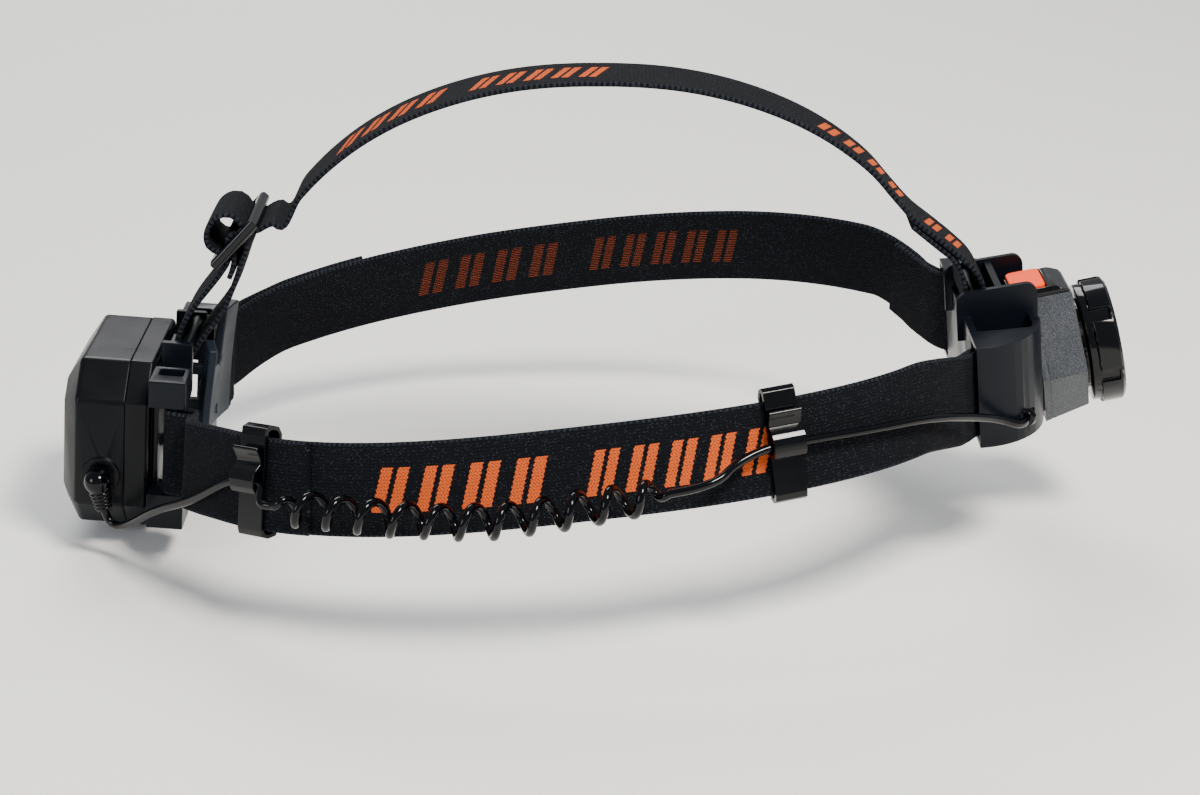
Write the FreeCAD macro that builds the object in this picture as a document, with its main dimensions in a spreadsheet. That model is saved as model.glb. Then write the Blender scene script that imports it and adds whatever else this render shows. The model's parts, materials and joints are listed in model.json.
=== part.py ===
"""Miner's cap lamp: a zoom head lamp and a rear battery box on elastic straps, joined by a curly cable.

Millimetres. +X forward (the way the wearer looks), +Y to the wearer's left, +Z up. The origin is the
centre of the head strap's loop, where a hard hat or a head sits. The straps hold the shape they have in use.
"""
import FreeCAD, Part
import math
import os

from FreeCAD import Placement, Rotation, Vector

doc = FreeCAD.newDocument("cap_lamp")

# ---------------------------------------------------------------- driving dimensions

DIMENSIONS = [
    # the straps' loop round the hat
    ("loop_length", 237.0, "head strap loop, front to rear"),
    ("loop_width", 199.0, "head strap loop, side to side"),
    ("loop_power", 2.4, "squareness of the loop: 2 is an ellipse"),
    ("crown_rise", 92.0, "top strap's middle above the origin"),
    ("strap_width", 25.4, "elastic webbing width"),
    ("strap_thick", 1.5, "elastic webbing thickness"),
    ("strap_lean", 13.0, "degrees that the side straps lean in at the top"),
    ("strap_gap", 0.4, "clearance between a strap and what it passes"),
    # lamp bracket
    ("bracket_tilt", 5.0, "degrees that the bracket looks up"),
    ("wing_span", 87.0, "bracket width across the wing tips"),
    ("wing_wall", 2.2, "wing and plate wall"),
    ("cheek_wall", 2.0, "cheek wall"),
    ("cheek_top", 27.0, "cheek height above the bracket's centre"),
    ("cap_wall", 1.6, "wall above and below the strap slots"),
    ("bar_radius", 1.8, "strap bars"),
    ("hinge_drop", 10.5, "tilt hinge below the bracket's centre"),
    ("pin_radius", 1.5, "hinge pin"),
    ("pin_clear", 0.06, "running clearance round the hinge pin"),
    ("lug_radius", 5.5, "hinge lug"),
    ("lug_width", 18.0, "hinge lug width"),
    ("ear_wall", 3.0, "hinge ear thickness"),
    ("ear_gap", 0.3, "gap between lug and ear"),
    # lamp body
    ("lamp_tilt", 12.0, "degrees that the lamp looks up at rest"),
    ("body_back", 4.2, "rear face of the lamp body"),
    ("body_front", 15.5, "front face of the lamp body"),
    ("body_rise", 6.5, "lamp body's top face above the zoom sleeve"),
    ("body_side", 5.8, "lamp body's crease beside the zoom sleeve, at the rear"),
    ("cover_thick", 2.0, "lamp rear cover"),
    ("sleeve_radius", 13.5, "zoom sleeve, outside"),
    ("sleeve_wall", 1.6, "zoom sleeve wall"),
    ("slide_clear", 0.08, "running clearance round the zoom sleeve"),
    ("bezel_rim", 5.0, "zoom bezel outside its sleeve"),
    ("bezel_length", 9.3, "zoom bezel, rear to front"),
    ("bezel_gap", 1.6, "gap between body and bezel with the zoom closed"),
    ("button_length", 10.0, "switch button along the lamp"),
    ("button_width", 16.0, "switch button across the lamp"),
    ("button_travel", 1.0, "switch travel"),
    # battery box
    ("box_lean", 4.5, "degrees that the box's top leans forward"),
    ("box_width", 60.0, "battery box width"),
    ("box_room", 22.1, "battery box height beyond the two cells"),
    ("box_corner", 9.7, "battery box corner chamfer"),
    ("box_wall", 2.0, "battery box wall"),
    ("case_room", 5.0, "battery case depth beyond one cell"),
    ("base_depth", 7.0, "battery base depth"),
    ("bevel_depth", 5.0, "bevel round the case's rear face, along the depth"),
    ("bevel_inset", 8.0, "bevel round the case's rear face, across it"),
    ("cell_radius", 7.0, "battery cell"),
    ("cell_length", 50.0, "battery cell"),
    ("cell_gap", 1.4, "wall and clearance between the cells"),
    ("socket_radius", 1.75, "charge socket bore"),
    ("socket_depth", 8.0, "charge socket bore depth"),
    ("lug_gap", 1.0, "gap beside the top strap at its rear bar"),
    ("lug_wall", 2.3, "wall of the lugs that hold the rear bar"),
    ("cradle_gap", 1.7, "gap beside the top strap in the cradle's notch"),
    ("cradle_thick", 2.5, "cradle plate"),
    ("cradle_bend", 85.0, "cradle plate's radius in plan"),
    # clips and slider
    ("clip_width", 9.0, "cable clip along the strap"),
    ("clip_thick", 1.2, "cable clip sheet"),
    ("slider_length", 18.4, "slider buckle along the strap"),
    ("slider_thick", 3.4, "slider buckle thickness"),
    # cord
    ("cord_diameter", 2.4, "cable"),
    ("coil_diameter", 10.4, "curly section, outside"),
    # sizes that follow what they hold
    ("body_top", "=sleeve_radius + body_rise", "lamp body's top face above its axis"),
    ("body_half", "=sleeve_radius + body_side", "lamp body's half width at the crease, at the rear"),
    ("bezel_radius", "=sleeve_radius + bezel_rim", "zoom bezel"),
    ("cell_pitch", "=2 * cell_radius + cell_gap", "distance between the cells' axes"),
    ("case_depth", "=2 * cell_radius + case_room", "battery case depth"),
    ("box_height", "=cell_pitch + 2 * cell_radius + box_room", "battery box height"),
]

sheet = doc.addObject("Spreadsheet::Sheet", "dims")
for row, (alias, value, meaning) in enumerate(DIMENSIONS, start=1):
    sheet.set("A%d" % row, alias)
    sheet.set("B%d" % row, str(value))
    sheet.set("C%d" % row, meaning)
    sheet.setAlias("B%d" % row, alias)
doc.recompute()


def cell(alias):
    """The number in the sheet's cell of that alias."""
    return float(sheet.get(alias))


SUBPARTS = []


def keep(item, label, frame=Placement()):
    """Name a finished sub-part and put its frame on it."""
    item.Label = label
    item.Placement = frame
    SUBPARTS.append(item)
    return item


def primitive(kind, name, at=Placement(), **sizes):
    """A Part primitive whose sizes are expressions on the sheet."""
    item = doc.addObject("Part::" + kind, name)
    for prop, expression in sizes.items():
        item.setExpression(prop, expression)
    item.Placement = at
    return item


def cut(name, base, *tools):
    """base without the tools, as one Part::Cut."""
    item = doc.addObject("Part::Cut", name)
    item.Base = base
    item.Tool = tools[0] if len(tools) == 1 else fuse(name + "_tools", *tools)
    return item


def fuse(name, *shapes):
    """The shapes as one Part::MultiFuse."""
    item = doc.addObject("Part::MultiFuse", name)
    item.Shapes = list(shapes)
    return item


def feature(name, shape):
    """A Part::Feature that holds a shape made with Part's own functions."""
    item = doc.addObject("Part::Feature", name)
    item.Shape = shape
    return item


def at(x, y, z):
    """A placement that only moves."""
    return Placement(Vector(x, y, z), Rotation())


def along_x(x, y, z):
    """A placement that turns a cylinder's axis from Z to X."""
    return Placement(Vector(x, y, z), Rotation(Vector(0, 1, 0), 90))


def along_y(x, y, z):
    """A placement that turns a cylinder's axis from Z to Y."""
    return Placement(Vector(x, y, z), Rotation(Vector(1, 0, 0), -90))


def box(x0, x1, y0, y1, z0, z1):
    """A box shape between two corners."""
    return Part.makeBox(x1 - x0, y1 - y0, z1 - z0, Vector(x0, y0, z0))


def rod(radius, start, end):
    """A cylinder shape between two points."""
    line = end - start
    return Part.makeCylinder(radius, line.Length, start, line)


def face_xy(points, z):
    """A face in a plane of constant z from (x, y) corners."""
    corners = [Vector(x, y, z) for x, y in points]
    return Part.Face(Part.makePolygon(corners + corners[:1]))


def face_xz(points, y):
    """A face in a plane of constant y from (x, z) corners."""
    corners = [Vector(x, y, z) for x, z in points]
    return Part.Face(Part.makePolygon(corners + corners[:1]))


def mirrored(shape):
    """The shape and its mirror image in the XZ plane, fused."""
    return shape.fuse(shape.mirror(Vector(), Vector(0, 1, 0)))


def ring(outer, inner, x0, x1):
    """A tube shape along X."""
    tube = Part.makeCylinder(outer, x1 - x0, Vector(x0, 0, 0), Vector(1, 0, 0))
    return tube.cut(Part.makeCylinder(inner, x1 - x0, Vector(x0, 0, 0), Vector(1, 0, 0)))


UP = Vector(0, 0, 1)


def unit(vector):
    """The vector at length 1."""
    return vector * (1.0 / vector.Length)


def mix(a, b, share):
    """The vector between two vectors."""
    return a * (1 - share) + b * share


def arc_points(centre, radius, start, end, count):
    """Points on a circle's arc, from one angle to another in degrees."""
    step = (end - start) / (count - 1)
    angles = [math.radians(start + step * i) for i in range(count)]
    return [(centre[0] + radius * math.cos(a), centre[1] + radius * math.sin(a)) for a in angles]


# ---------------------------------------------------------------- frames of the two ends

half_loop = cell("loop_length") / 2
HEAD_ORIGIN = Vector(half_loop + 15.7, 0, 7.1)
HEAD = Placement(HEAD_ORIGIN, Rotation(Vector(0, 1, 0), -cell("lamp_tilt")))
BRACKET = Placement(HEAD_ORIGIN, Rotation(Vector(0, 1, 0), -cell("bracket_tilt")))
PACK = Placement(Vector(-half_loop - 5.3, 0, -14.2), Rotation(Vector(0, 1, 0), cell("box_lean")))

hinge_in_bracket = Vector(-3.2, 0, -cell("hinge_drop"))
hinge_world = BRACKET.multVec(hinge_in_bracket)
hinge_in_head = HEAD.inverse().multVec(hinge_world)

# ---------------------------------------------------------------- lamp body and its inside


def hexagon(x, top, top_half, crease, crease_half, bottom, bottom_half):
    """The lamp body's six-sided section at one x, as a wire."""
    right = [(top_half, top), (crease_half, crease), (bottom_half, bottom)]
    outline = right + [(-y, z) for y, z in reversed(right)]
    corners = [Vector(x, y, z) for y, z in outline]
    return Part.makePolygon(corners + corners[:1])


def body_section(x, grow=0.0):
    """The lamp body's section, moved out by a clearance: it narrows towards the front."""
    share = (x - cell("body_back")) / (cell("body_front") - cell("body_back"))
    crease_half = cell("body_half") - 1.0 * share
    bottom = -(cell("body_top") - 1.0) + 2.5 * share
    return hexagon(x, cell("body_top") + grow, 10.0 + grow, -2.5, crease_half + grow, bottom - grow, 8.0 + grow)


def make_lamp_body():
    """Faceted housing with the zoom bore, the board pocket and four screw holes."""
    back, front = cell("body_back"), cell("body_front")
    blank = feature("lamp_body_blank", Part.makeLoft([body_section(back), body_section(front)], True, True))
    bore = primitive("Cylinder", "zoom_bore", along_x(back - 1, 0, 0),
                     Radius="dims.sleeve_radius + dims.slide_clear", Height="dims.body_front - dims.body_back + 2")
    pocket = primitive("Box", "board_pocket", at(back - 1, -8.4, cell("sleeve_radius") - 1.5),
                       Length="9.7", Width="16.8", Height="dims.body_rise - 0.5")
    stem_hole = primitive("Cylinder", "stem_hole", at(6.8, 0, cell("sleeve_radius") + 0.5), Radius="1.7",
                          Height="dims.body_rise + 0.5")
    holes = [primitive("Cylinder", "screw_hole", along_x(back - 1, y, z), Radius="0.8", Height="5")
             for y, z in screw_places()]
    keep(cut("lamp_body_cut", blank, bore, pocket, stem_hole, *holes), "lamp_body", HEAD)


def screw_places():
    """Centres of the four screws that hold the rear cover, as (y, z)."""
    high, low = cell("body_top") - 6.2, -(cell("body_top") - 6.6)
    return [(10.4, high), (-10.4, high), (9.9, low), (-9.9, low)]


def make_rear_cover():
    """Plate behind the lamp body with the hinge lug."""
    back = cell("body_back")
    front_x = back - cell("cover_thick")
    plate = Part.makeLoft([body_section(front_x), body_section(back)], True, True)
    half, radius = cell("lug_width") / 2, cell("lug_radius")
    x, z = hinge_in_head.x, hinge_in_head.z
    lug = rod(radius, Vector(x, -half, z), Vector(x, half, z))
    web = box(x, front_x + 0.5, -half, half, z - radius, z + radius)
    hole = rod(cell("pin_radius") + cell("pin_clear"), Vector(x, -half - 1, z), Vector(x, half + 1, z))
    shape = plate.fuse([lug, web]).removeSplitter().cut(hole)
    for y, height in screw_places():
        shape = shape.cut(rod(1.0, Vector(front_x - 1, y, height), Vector(back + 1, y, height)))
        head_seat = Part.makeCone(2.0, 1.0, 1.0, Vector(front_x, y, height), Vector(1, 0, 0))
        shape = shape.cut(head_seat)
    keep(feature("rear_cover_shape", shape), "lamp_rear_cover", HEAD)


def make_cover_screws():
    """Four countersunk screws through the rear cover."""
    front_x = cell("body_back") - cell("cover_thick")
    screws = []
    for y, z in screw_places():
        head = Part.makeCone(1.95, 0.95, 1.0, Vector(front_x, y, z), Vector(1, 0, 0))
        shank = rod(0.8, Vector(front_x + 0.9, y, z), Vector(front_x + 5.4, y, z))
        slot = box(front_x - 0.1, front_x + 0.4, y - 1.4, y + 1.4, z - 0.25, z + 0.25)
        screws.append(head.fuse(shank).cut(slot))
    keep(feature("cover_screws_shape", Part.makeCompound(screws)), "cover_screws", HEAD)


BUTTON_BACK = -1.5  # rear edge of the switch button along the lamp


def make_top_cap():
    """Black cap along the top of the body with the window for the button."""
    low, high = cell("body_top") + 0.02, cell("body_top") + 2.4
    tail = BUTTON_BACK - 1.3
    front = cell("body_front") - 0.6
    side = face_xz([(tail, low), (front, low), (front, low + 0.6), (front - 3.6, high), (tail + 0.8, high),
                    (tail, high - 0.8)], -10.0)
    cap = side.extrude(Vector(0, 20.0, 0))
    long_edges = [e for e in cap.Edges if e.Length > 8 and abs(e.Vertexes[0].Z - high) < 0.01
                  and abs(e.Vertexes[1].Z - high) < 0.01 and abs(e.Vertexes[0].Y - e.Vertexes[1].Y) < 0.01]
    cap = cap.makeChamfer(0.8, long_edges)
    gap = 0.25
    window = box(BUTTON_BACK - gap, BUTTON_BACK + cell("button_length") + gap, -cell("button_width") / 2 - gap,
                 cell("button_width") / 2 + gap, low - 1, high + 1)
    keep(feature("top_cap_shape", cap.cut(window)), "top_cap", HEAD)


def make_switch():
    """Button with its stem, the tact switch under it and the board that carries both."""
    low = cell("body_top") + 0.1 + cell("button_travel")
    half = cell("button_width") / 2
    pad = box(BUTTON_BACK, BUTTON_BACK + cell("button_length"), -half, half, low, low + 2.2)
    upright = [e for e in pad.Edges if abs(e.Vertexes[0].Z - e.Vertexes[1].Z) > 1]
    pad = pad.makeFillet(2.0, upright)
    crown = [e for e in pad.Edges if e.BoundBox.ZMin > low + 2.1]
    pad = pad.makeFillet(0.6, crown)
    stem_low = cell("body_top") - 2.6
    stem = rod(1.4, Vector(6.8, 0, stem_low), Vector(6.8, 0, low + 0.5))
    keep(feature("switch_button_shape", pad.fuse(stem)), "switch_button", HEAD)
    tact_top = stem_low - cell("button_travel") - 0.1
    board_low = tact_top - 2.1
    keep(primitive("Box", "tact_switch_box", Length="6", Width="6", Height="1.1"), "tact_switch",
         HEAD.multiply(at(4.6, -3, board_low + 1.0)))
    keep(primitive("Box", "switch_board_box", Length="8", Width="16", Height="1"), "switch_board",
         HEAD.multiply(at(4.4, -8, board_low)))


def make_light_engine():
    """Heat sink on the rear cover, driver board inside its rim, LED board and emitter on its face."""
    back = cell("body_back")
    radius = cell("sleeve_radius") - cell("sleeve_wall") - 0.5
    rim = 1.0
    slug = Part.makeCylinder(radius, 4.8, Vector(back, 0, 0), Vector(1, 0, 0))
    slug = slug.cut(Part.makeCylinder(radius - rim, 2.4, Vector(back, 0, 0), Vector(1, 0, 0)))
    keep(feature("heat_sink_shape", slug), "heat_sink", HEAD)
    keep(primitive("Cylinder", "driver_board_disc", Radius="dims.sleeve_radius - dims.sleeve_wall - 1.7",
                   Height="1.1"), "driver_board", HEAD.multiply(along_x(back + 0.7, 0, 0)))
    keep(primitive("Cylinder", "led_board_disc", Radius="dims.sleeve_radius - dims.sleeve_wall - 1.7",
                   Height="1.4"), "led_board", HEAD.multiply(along_x(back + 4.8, 0, 0)))
    front = back + 6.2
    base = box(front, front + 0.9, -2.5, 2.5, -2.5, 2.5)
    dome = Part.makeSphere(2.0, Vector(front + 0.9, 0, 0), Vector(1, 0, 0), 0, 90)
    keep(feature("led_emitter_shape", base.fuse(dome)), "led_emitter", HEAD)


def make_zoom():
    """Bezel with its sliding sleeve and grips, lens, lens ring and the sleeve's O-ring."""
    outer, inner = cell("sleeve_radius"), cell("sleeve_radius") - cell("sleeve_wall")
    big = cell("bezel_radius")
    rear = cell("body_front") + cell("bezel_gap")
    front = rear + cell("bezel_length")
    seat = big - 2.6
    profile = [(5.0, inner), (5.0, outer), (rear, outer), (rear, big - 1.1), (rear + 2.2, big - 1.1),
               (rear + 2.4, big), (front - 0.9, big), (front, big - 1.1), (front, seat), (rear + 2.9, seat),
               (rear + 2.9, inner)]
    face = face_xz(profile, 0)
    body = face.revolve(Vector(), Vector(1, 0, 0), 360)
    groove = ring(outer + 1, outer - 0.75, 7.2, 8.6)
    body = body.cut(groove)
    for k in range(6):
        valley = box(rear + 2.2, front - 1.5, -2.0, 2.0, big - 1.1, big + 1)
        valley.rotate(Vector(), Vector(1, 0, 0), 60 * k + 47)
        body = body.cut(valley)
    keep(feature("zoom_bezel_shape", body), "zoom_bezel", HEAD)

    keep(primitive("Torus", "sleeve_o_ring_torus", Radius1="dims.sleeve_radius - 0.33", Radius2="0.37"),
         "sleeve_o_ring", HEAD.multiply(along_x(7.9, 0, 0)))

    flange_back, flange_front = rear + 2.95, rear + 4.4
    lens_radius = seat - 0.1
    dome_radius, dome_rise = seat - 2.2, front - flange_front - 0.8
    sphere = (dome_radius ** 2 + dome_rise ** 2) / (2 * dome_rise)
    cap = Part.makeSphere(sphere, Vector(flange_front + dome_rise - sphere, 0, 0))
    room = Part.makeCylinder(dome_radius, dome_rise + 1, Vector(flange_front - 0.5, 0, 0), Vector(1, 0, 0))
    flange = Part.makeCylinder(lens_radius, flange_front - flange_back, Vector(flange_back, 0, 0), Vector(1, 0, 0))
    keep(feature("lens_shape", flange.fuse(cap.common(room))), "lens", HEAD)
    keep(feature("lens_ring_shape", ring(seat - 0.05, dome_radius + 0.3, flange_front + 0.05, front - 0.3)),
         "lens_ring", HEAD)


# ---------------------------------------------------------------- lamp bracket


def wing_outline(inset):
    """The right wing's outer curve in plan, from the front end to the tip, moved in by an inset that thins out."""
    span = cell("wing_span") / 2
    middle = Vector(-18.5, -20.0, 0)
    outline = []
    for i in range(13):
        angle, wall = math.radians(90.0 * i / 12), inset * (1 - 0.6 * (i / 12.0) ** 3)
        outline.append((middle.x + (20.3 - wall) * math.cos(angle), middle.y - (span - 20.0 - wall) * math.sin(angle)))
    return outline


def strap_slot_heights():
    """Lower and upper end of the strap slots in the bracket."""
    half = cell("strap_width") / 2 + 0.7
    return 3.2 - half, 3.2 + half


def front_bar():
    """Centre of the right wing's strap bar in plan."""
    return Vector(-13.5, -cell("wing_span") / 2 + 8.6, 0)


def top_bar():
    """Centre of the top strap's bar between the cheeks."""
    return Vector(-15.5, 0, cell("cheek_top") - 4.5)


def make_lamp_bracket():
    """Bracket behind the lamp: cheeks, wings with strap bars, top strap bar and hinge ears."""
    wall, cap = cell("wing_wall"), cell("cap_wall")
    slot_low, slot_high = strap_slot_heights()
    low, high = slot_low - cap, slot_high + cap
    back = -19.5
    bar = front_bar()
    inner_y = bar.y + 6.3
    half_gap = cell("strap_width") / 2 + 0.5
    cheek = half_gap + cell("cheek_wall")

    # wings: outer curve in plan, straight back, extruded upright
    outline = wing_outline(0.0)
    plan = [(-0.8, 0.0), (-0.8, -20.0)] + outline + [(back, outline[-1][1]), (back, 0.0)]
    solid = face_xy(plan, low).extrude(Vector(0, 0, high - low))

    inside = wing_outline(wall)
    front_inside = inside[0][0] - 0.6
    pocket_plan = [(front_inside, -cheek), (front_inside, inside[1][1])]
    pocket_plan += [p for p in inside[2:] if p[1] > inner_y]
    pocket_plan += [(inside[8][0], inner_y), (back + wall, inner_y), (back + wall, -cheek)]
    pocket = face_xy([p for p in pocket_plan], low + cap).extrude(Vector(0, 0, high - low))

    # the strap's room: between the curved wall and the inner wall, open to the rear
    room_plan = [p for p in inside if p[1] < inner_y - wall] + [(back - 1, inside[-1][1]), (back - 1, inner_y - wall)]
    first = room_plan[0]
    room_plan = [(first[0], inner_y - wall)] + room_plan
    room = face_xy(room_plan, slot_low).extrude(Vector(0, 0, slot_high - slot_low))
    solid = solid.cut([pocket, room])
    solid = solid.fuse(rod(cell("bar_radius"), Vector(bar.x, bar.y, low), Vector(bar.x, bar.y, high)))

    # middle: open shell behind the lamp, with room for the hinge lug
    middle = box(back + wall, -3.0, -half_gap, 1, low + cap, high + 1)
    hinge_room = box(-12.5, 4, -17.5, 1, low - 1, -3.4)
    solid = solid.cut([middle, hinge_room])

    # room for the top strap's fold, and for the lamp's top cap at rest
    fold = cell("bar_radius") + cell("strap_gap") / 2 + cell("strap_thick")
    fold_room = box(back - 3, -3.0, -half_gap, 1, top_bar().z - fold - cell("strap_gap"), cell("cheek_top") + 5)
    cap_room = box(BUTTON_BACK - 1.8, cell("body_front"), -10.5, 1, cell("body_top") - 0.3, cell("body_top") + 9)
    cap_room.transformShape(BRACKET.inverse().multiply(HEAD).toMatrix())
    solid = solid.cut([fold_room, cap_room])

    # cheeks with a rounded top
    top = cell("cheek_top")
    profile = [(back - 2.0, 11.0), (0.0, 11.0), (0.2, 13.7), (2.1, 15.2)]
    profile += arc_points((2.1 - 3.0, top - 3.0), 3.0, 0, 90, 7)
    profile += arc_points((back - 2.0 + 4.0, top - 5.4), 4.0, 100, 180, 7)
    plate = face_xz(profile, -cheek).extrude(Vector(0, cell("cheek_wall"), 0))
    clear = 0.15
    cover_back = cell("body_back") - cell("cover_thick")
    lamp_room = Part.makeLoft([body_section(cover_back - clear, clear), body_section(cell("body_front"), clear)],
                              True, True)
    lamp_room.transformShape(BRACKET.inverse().multiply(HEAD).toMatrix())
    plate = plate.cut(lamp_room)
    front_wall = box(-9.5, -7.5, -half_gap - 0.5, 1, 11.0, top - 1.6)
    bar_centre = top_bar()
    cross_bar = rod(cell("bar_radius"), Vector(bar_centre.x, -half_gap - 0.5, bar_centre.z),
                    Vector(bar_centre.x, 1, bar_centre.z))
    solid = solid.fuse([plate, front_wall, cross_bar])

    # hinge ears
    ear_in = cell("lug_width") / 2 + cell("ear_gap")
    ear_out = ear_in + cell("ear_wall")
    x, z = hinge_in_bracket.x, hinge_in_bracket.z
    radius = cell("lug_radius")
    ear = rod(radius, Vector(x, -ear_out, z), Vector(x, -ear_in, z))
    rib = box(x - radius, x + radius, -ear_out, -ear_in, z, -3.0)
    foot = box(-17.6, x, -ear_out, -ear_in, -6.5, -3.0)
    solid = solid.fuse([ear, rib, foot])
    solid = mirrored(solid).removeSplitter()
    solid = solid.cut(rod(cell("pin_radius"), Vector(x, -ear_out - 1, z), Vector(x, ear_out + 1, z)))
    keep(feature("lamp_bracket_shape", solid.cut(grommet_solid())), "lamp_bracket", BRACKET)
    pin_end = ear_out + 0.6
    keep(feature("hinge_pin_shape", rod(cell("pin_radius"), Vector(x, -pin_end, z), Vector(x, pin_end, z))),
         "hinge_pin", BRACKET)


# ---------------------------------------------------------------- battery box


def octagon(x, inset):
    """The battery box's section at one x, moved in by an inset, as a wire."""
    half_y, half_z = cell("box_width") / 2 - inset, cell("box_height") / 2 - inset
    corner = cell("box_corner") - inset * (2 - math.sqrt(2))
    quarter = [(half_y, half_z - corner), (half_y - corner, half_z)]
    upper = quarter + [(-y, z) for y, z in reversed(quarter)]
    outline = upper + [(-y, -z) for y, z in upper]
    corners = [Vector(x, y, z) for y, z in outline]
    return Part.makePolygon(corners + corners[:1])


def slab(x0, x1, inset):
    """An octagonal slab between two x."""
    return Part.Face(octagon(x0, inset)).extrude(Vector(x1 - x0, 0, 0))


def case_screw_places():
    """Centres of the four case screws, as (y, z)."""
    y = cell("box_width") / 2 - cell("box_corner") - 0.6
    z = cell("box_height") / 2 - cell("box_wall") - 2.6
    return [(y, z), (-y, z), (y, -z), (-y, -z)]


GLAND_AT = (-13.6, -6.8)  # cable gland on the right side of the case, as (x, z) in the box's frame
SOCKET_AT = (-14.8, 11.0)  # charge socket in the bottom of the case, as (x, y) in the box's frame


def make_battery_case():
    """Outer case: deep octagonal shell with a bevelled rear face."""
    base, wall = -cell("base_depth"), cell("box_wall")
    bevel = base - cell("case_depth") + cell("bevel_depth")
    rear = base - cell("case_depth")
    outside = slab(bevel, base, 0).fuse(
        Part.makeLoft([octagon(rear, cell("bevel_inset")), octagon(bevel, 0)], True, True))
    inside = slab(bevel, base, wall).fuse(
        Part.makeLoft([octagon(rear + wall, cell("bevel_inset") + 0.4), octagon(bevel, wall)], True, True))
    shell = outside.cut(inside)
    side = -cell("box_width") / 2
    ring_boss = rod(5.6, Vector(GLAND_AT[0], side + 0.5, GLAND_AT[1]), Vector(GLAND_AT[0], side - 0.9, GLAND_AT[1]))
    gland_hole = rod(3.2, Vector(GLAND_AT[0], side + 3, GLAND_AT[1]), Vector(GLAND_AT[0], side - 2, GLAND_AT[1]))
    for y, z in case_screw_places():
        shell = shell.fuse(rod(2.3, Vector(rear + wall, y, z), Vector(base, y, z)).common(outside))
    shell = shell.fuse(ring_boss).removeSplitter().cut(gland_hole)
    for y, z in case_screw_places():
        shell = shell.cut(rod(1.0, Vector(base - 8, y, z), Vector(base + 1, y, z)))
    floor = -cell("box_height") / 2
    shell = shell.cut(rod(4.0, Vector(SOCKET_AT[0], SOCKET_AT[1], floor - 1),
                          Vector(SOCKET_AT[0], SOCKET_AT[1], floor + wall + 1)))
    keep(feature("battery_case_shape", shell), "battery_case", PACK)


def make_battery_base():
    """Inner shell on the hat's side that the rear bracket screws to, with its four screws."""
    base, wall = -cell("base_depth"), cell("box_wall")
    shell = slab(base, 0, 0).cut(slab(base, -wall, wall))
    front = [e for e in shell.Edges if e.BoundBox.XMin > -0.01 and e.BoundBox.DiagonalLength > 5]
    shell = shell.makeChamfer(0.8, front)
    screws = []
    for y, z in case_screw_places():
        shell = shell.fuse(rod(2.3, Vector(base, y, z), Vector(-wall, y, z))).removeSplitter()
        shell = shell.cut(rod(1.2, Vector(base - 1, y, z), Vector(1, y, z)))
        shell = shell.cut(rod(2.2, Vector(-1.8, y, z), Vector(1, y, z)))
        screw = rod(2.0, Vector(-1.8, y, z), Vector(-0.2, y, z)).fuse(rod(1.0, Vector(base - 6, y, z),
                                                                         Vector(-1.7, y, z)))
        cross = box(-0.9, 0, y - 1.2, y + 1.2, z - 0.3, z + 0.3)
        cross = cross.fuse(box(-0.9, 0, y - 0.3, y + 0.3, z - 1.2, z + 1.2))
        screws.append(screw.cut(cross))
    keep(feature("battery_base_shape", shell), "battery_base", PACK)
    keep(feature("case_screws_shape", Part.makeCompound(screws)), "case_screws", PACK)
    seal = slab(base - 0.9, base + 0.9, wall + 0.05).cut(slab(base - 1, base + 1, wall + 1.05))
    for y, z in case_screw_places():
        seal = seal.cut(rod(2.35, Vector(base - 2, y, z), Vector(base + 2, y, z)))
    keep(feature("case_seal_shape", seal), "case_seal", PACK)


def make_cells():
    """Two cells across the box, with their springs at one end and contact plates at both."""
    depth = -cell("base_depth") - cell("cell_radius") - 1.2
    half = cell("cell_length") / 2
    wall_y = cell("box_width") / 2 - cell("box_wall")
    springs, plates = [], []
    for name, side in (("battery_cell_upper", 1), ("battery_cell_lower", -1)):
        z = side * cell("cell_pitch") / 2
        can = rod(cell("cell_radius"), Vector(depth, -half, z), Vector(depth, half - 1.0, z))
        button = rod(2.7, Vector(depth, half - 1.1, z), Vector(depth, half, z))
        keep(feature(name + "_shape", can.fuse(button)), name, PACK)
        plates.append(box(depth - 5, depth + 5, half + 0.02, half + 0.5, z - 5, z + 5))
        plates.append(box(depth - 5, depth + 5, -wall_y + 0.1, -wall_y + 0.6, z - 5, z + 5))
        coil_room = wall_y - 0.6 - half
        turns = [Part.makeTorus(4.2 - 0.8 * i, 0.42, Vector(depth, -wall_y + 0.6 + 0.42 + i * (coil_room - 0.9) / 2, z),
                                Vector(0, 1, 0)) for i in range(3)]
        links = [rod(0.42, turns_at(depth, z, wall_y, coil_room, i), turns_at(depth, z, wall_y, coil_room, i + 1))
                 for i in range(2)]
        springs.append(turns[0].fuse(turns[1:] + links))
    keep(feature("contact_plates_shape", Part.makeCompound(plates)), "contact_plates", PACK)
    keep(feature("contact_springs_shape", Part.makeCompound(springs)), "contact_springs", PACK)


def turns_at(depth, z, wall_y, room, i):
    """A point on the i-th turn of a contact spring."""
    return Vector(depth + 4.2 - 0.8 * i, -wall_y + 1.02 + i * (room - 0.9) / 2, z)


def make_charging():
    """Charge board behind the cells and the socket in the bottom of the case."""
    keep(primitive("Box", "charge_board_box", Length="1.4", Width="38", Height="28"), "charge_board",
         PACK.multiply(at(-5.2, -19, -14)))
    floor = -cell("box_height") / 2
    x, y = SOCKET_AT
    barrel = primitive("Cylinder", "socket_barrel", at(x, y, floor), Radius="4.0", Height="dims.socket_depth + 1")
    bore = primitive("Cylinder", "socket_bore", at(x, y, floor - 1), Radius="dims.socket_radius",
                     Height="dims.socket_depth + 1")
    keep(cut("charge_socket_cut", barrel, bore), "charge_socket", PACK)


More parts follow.
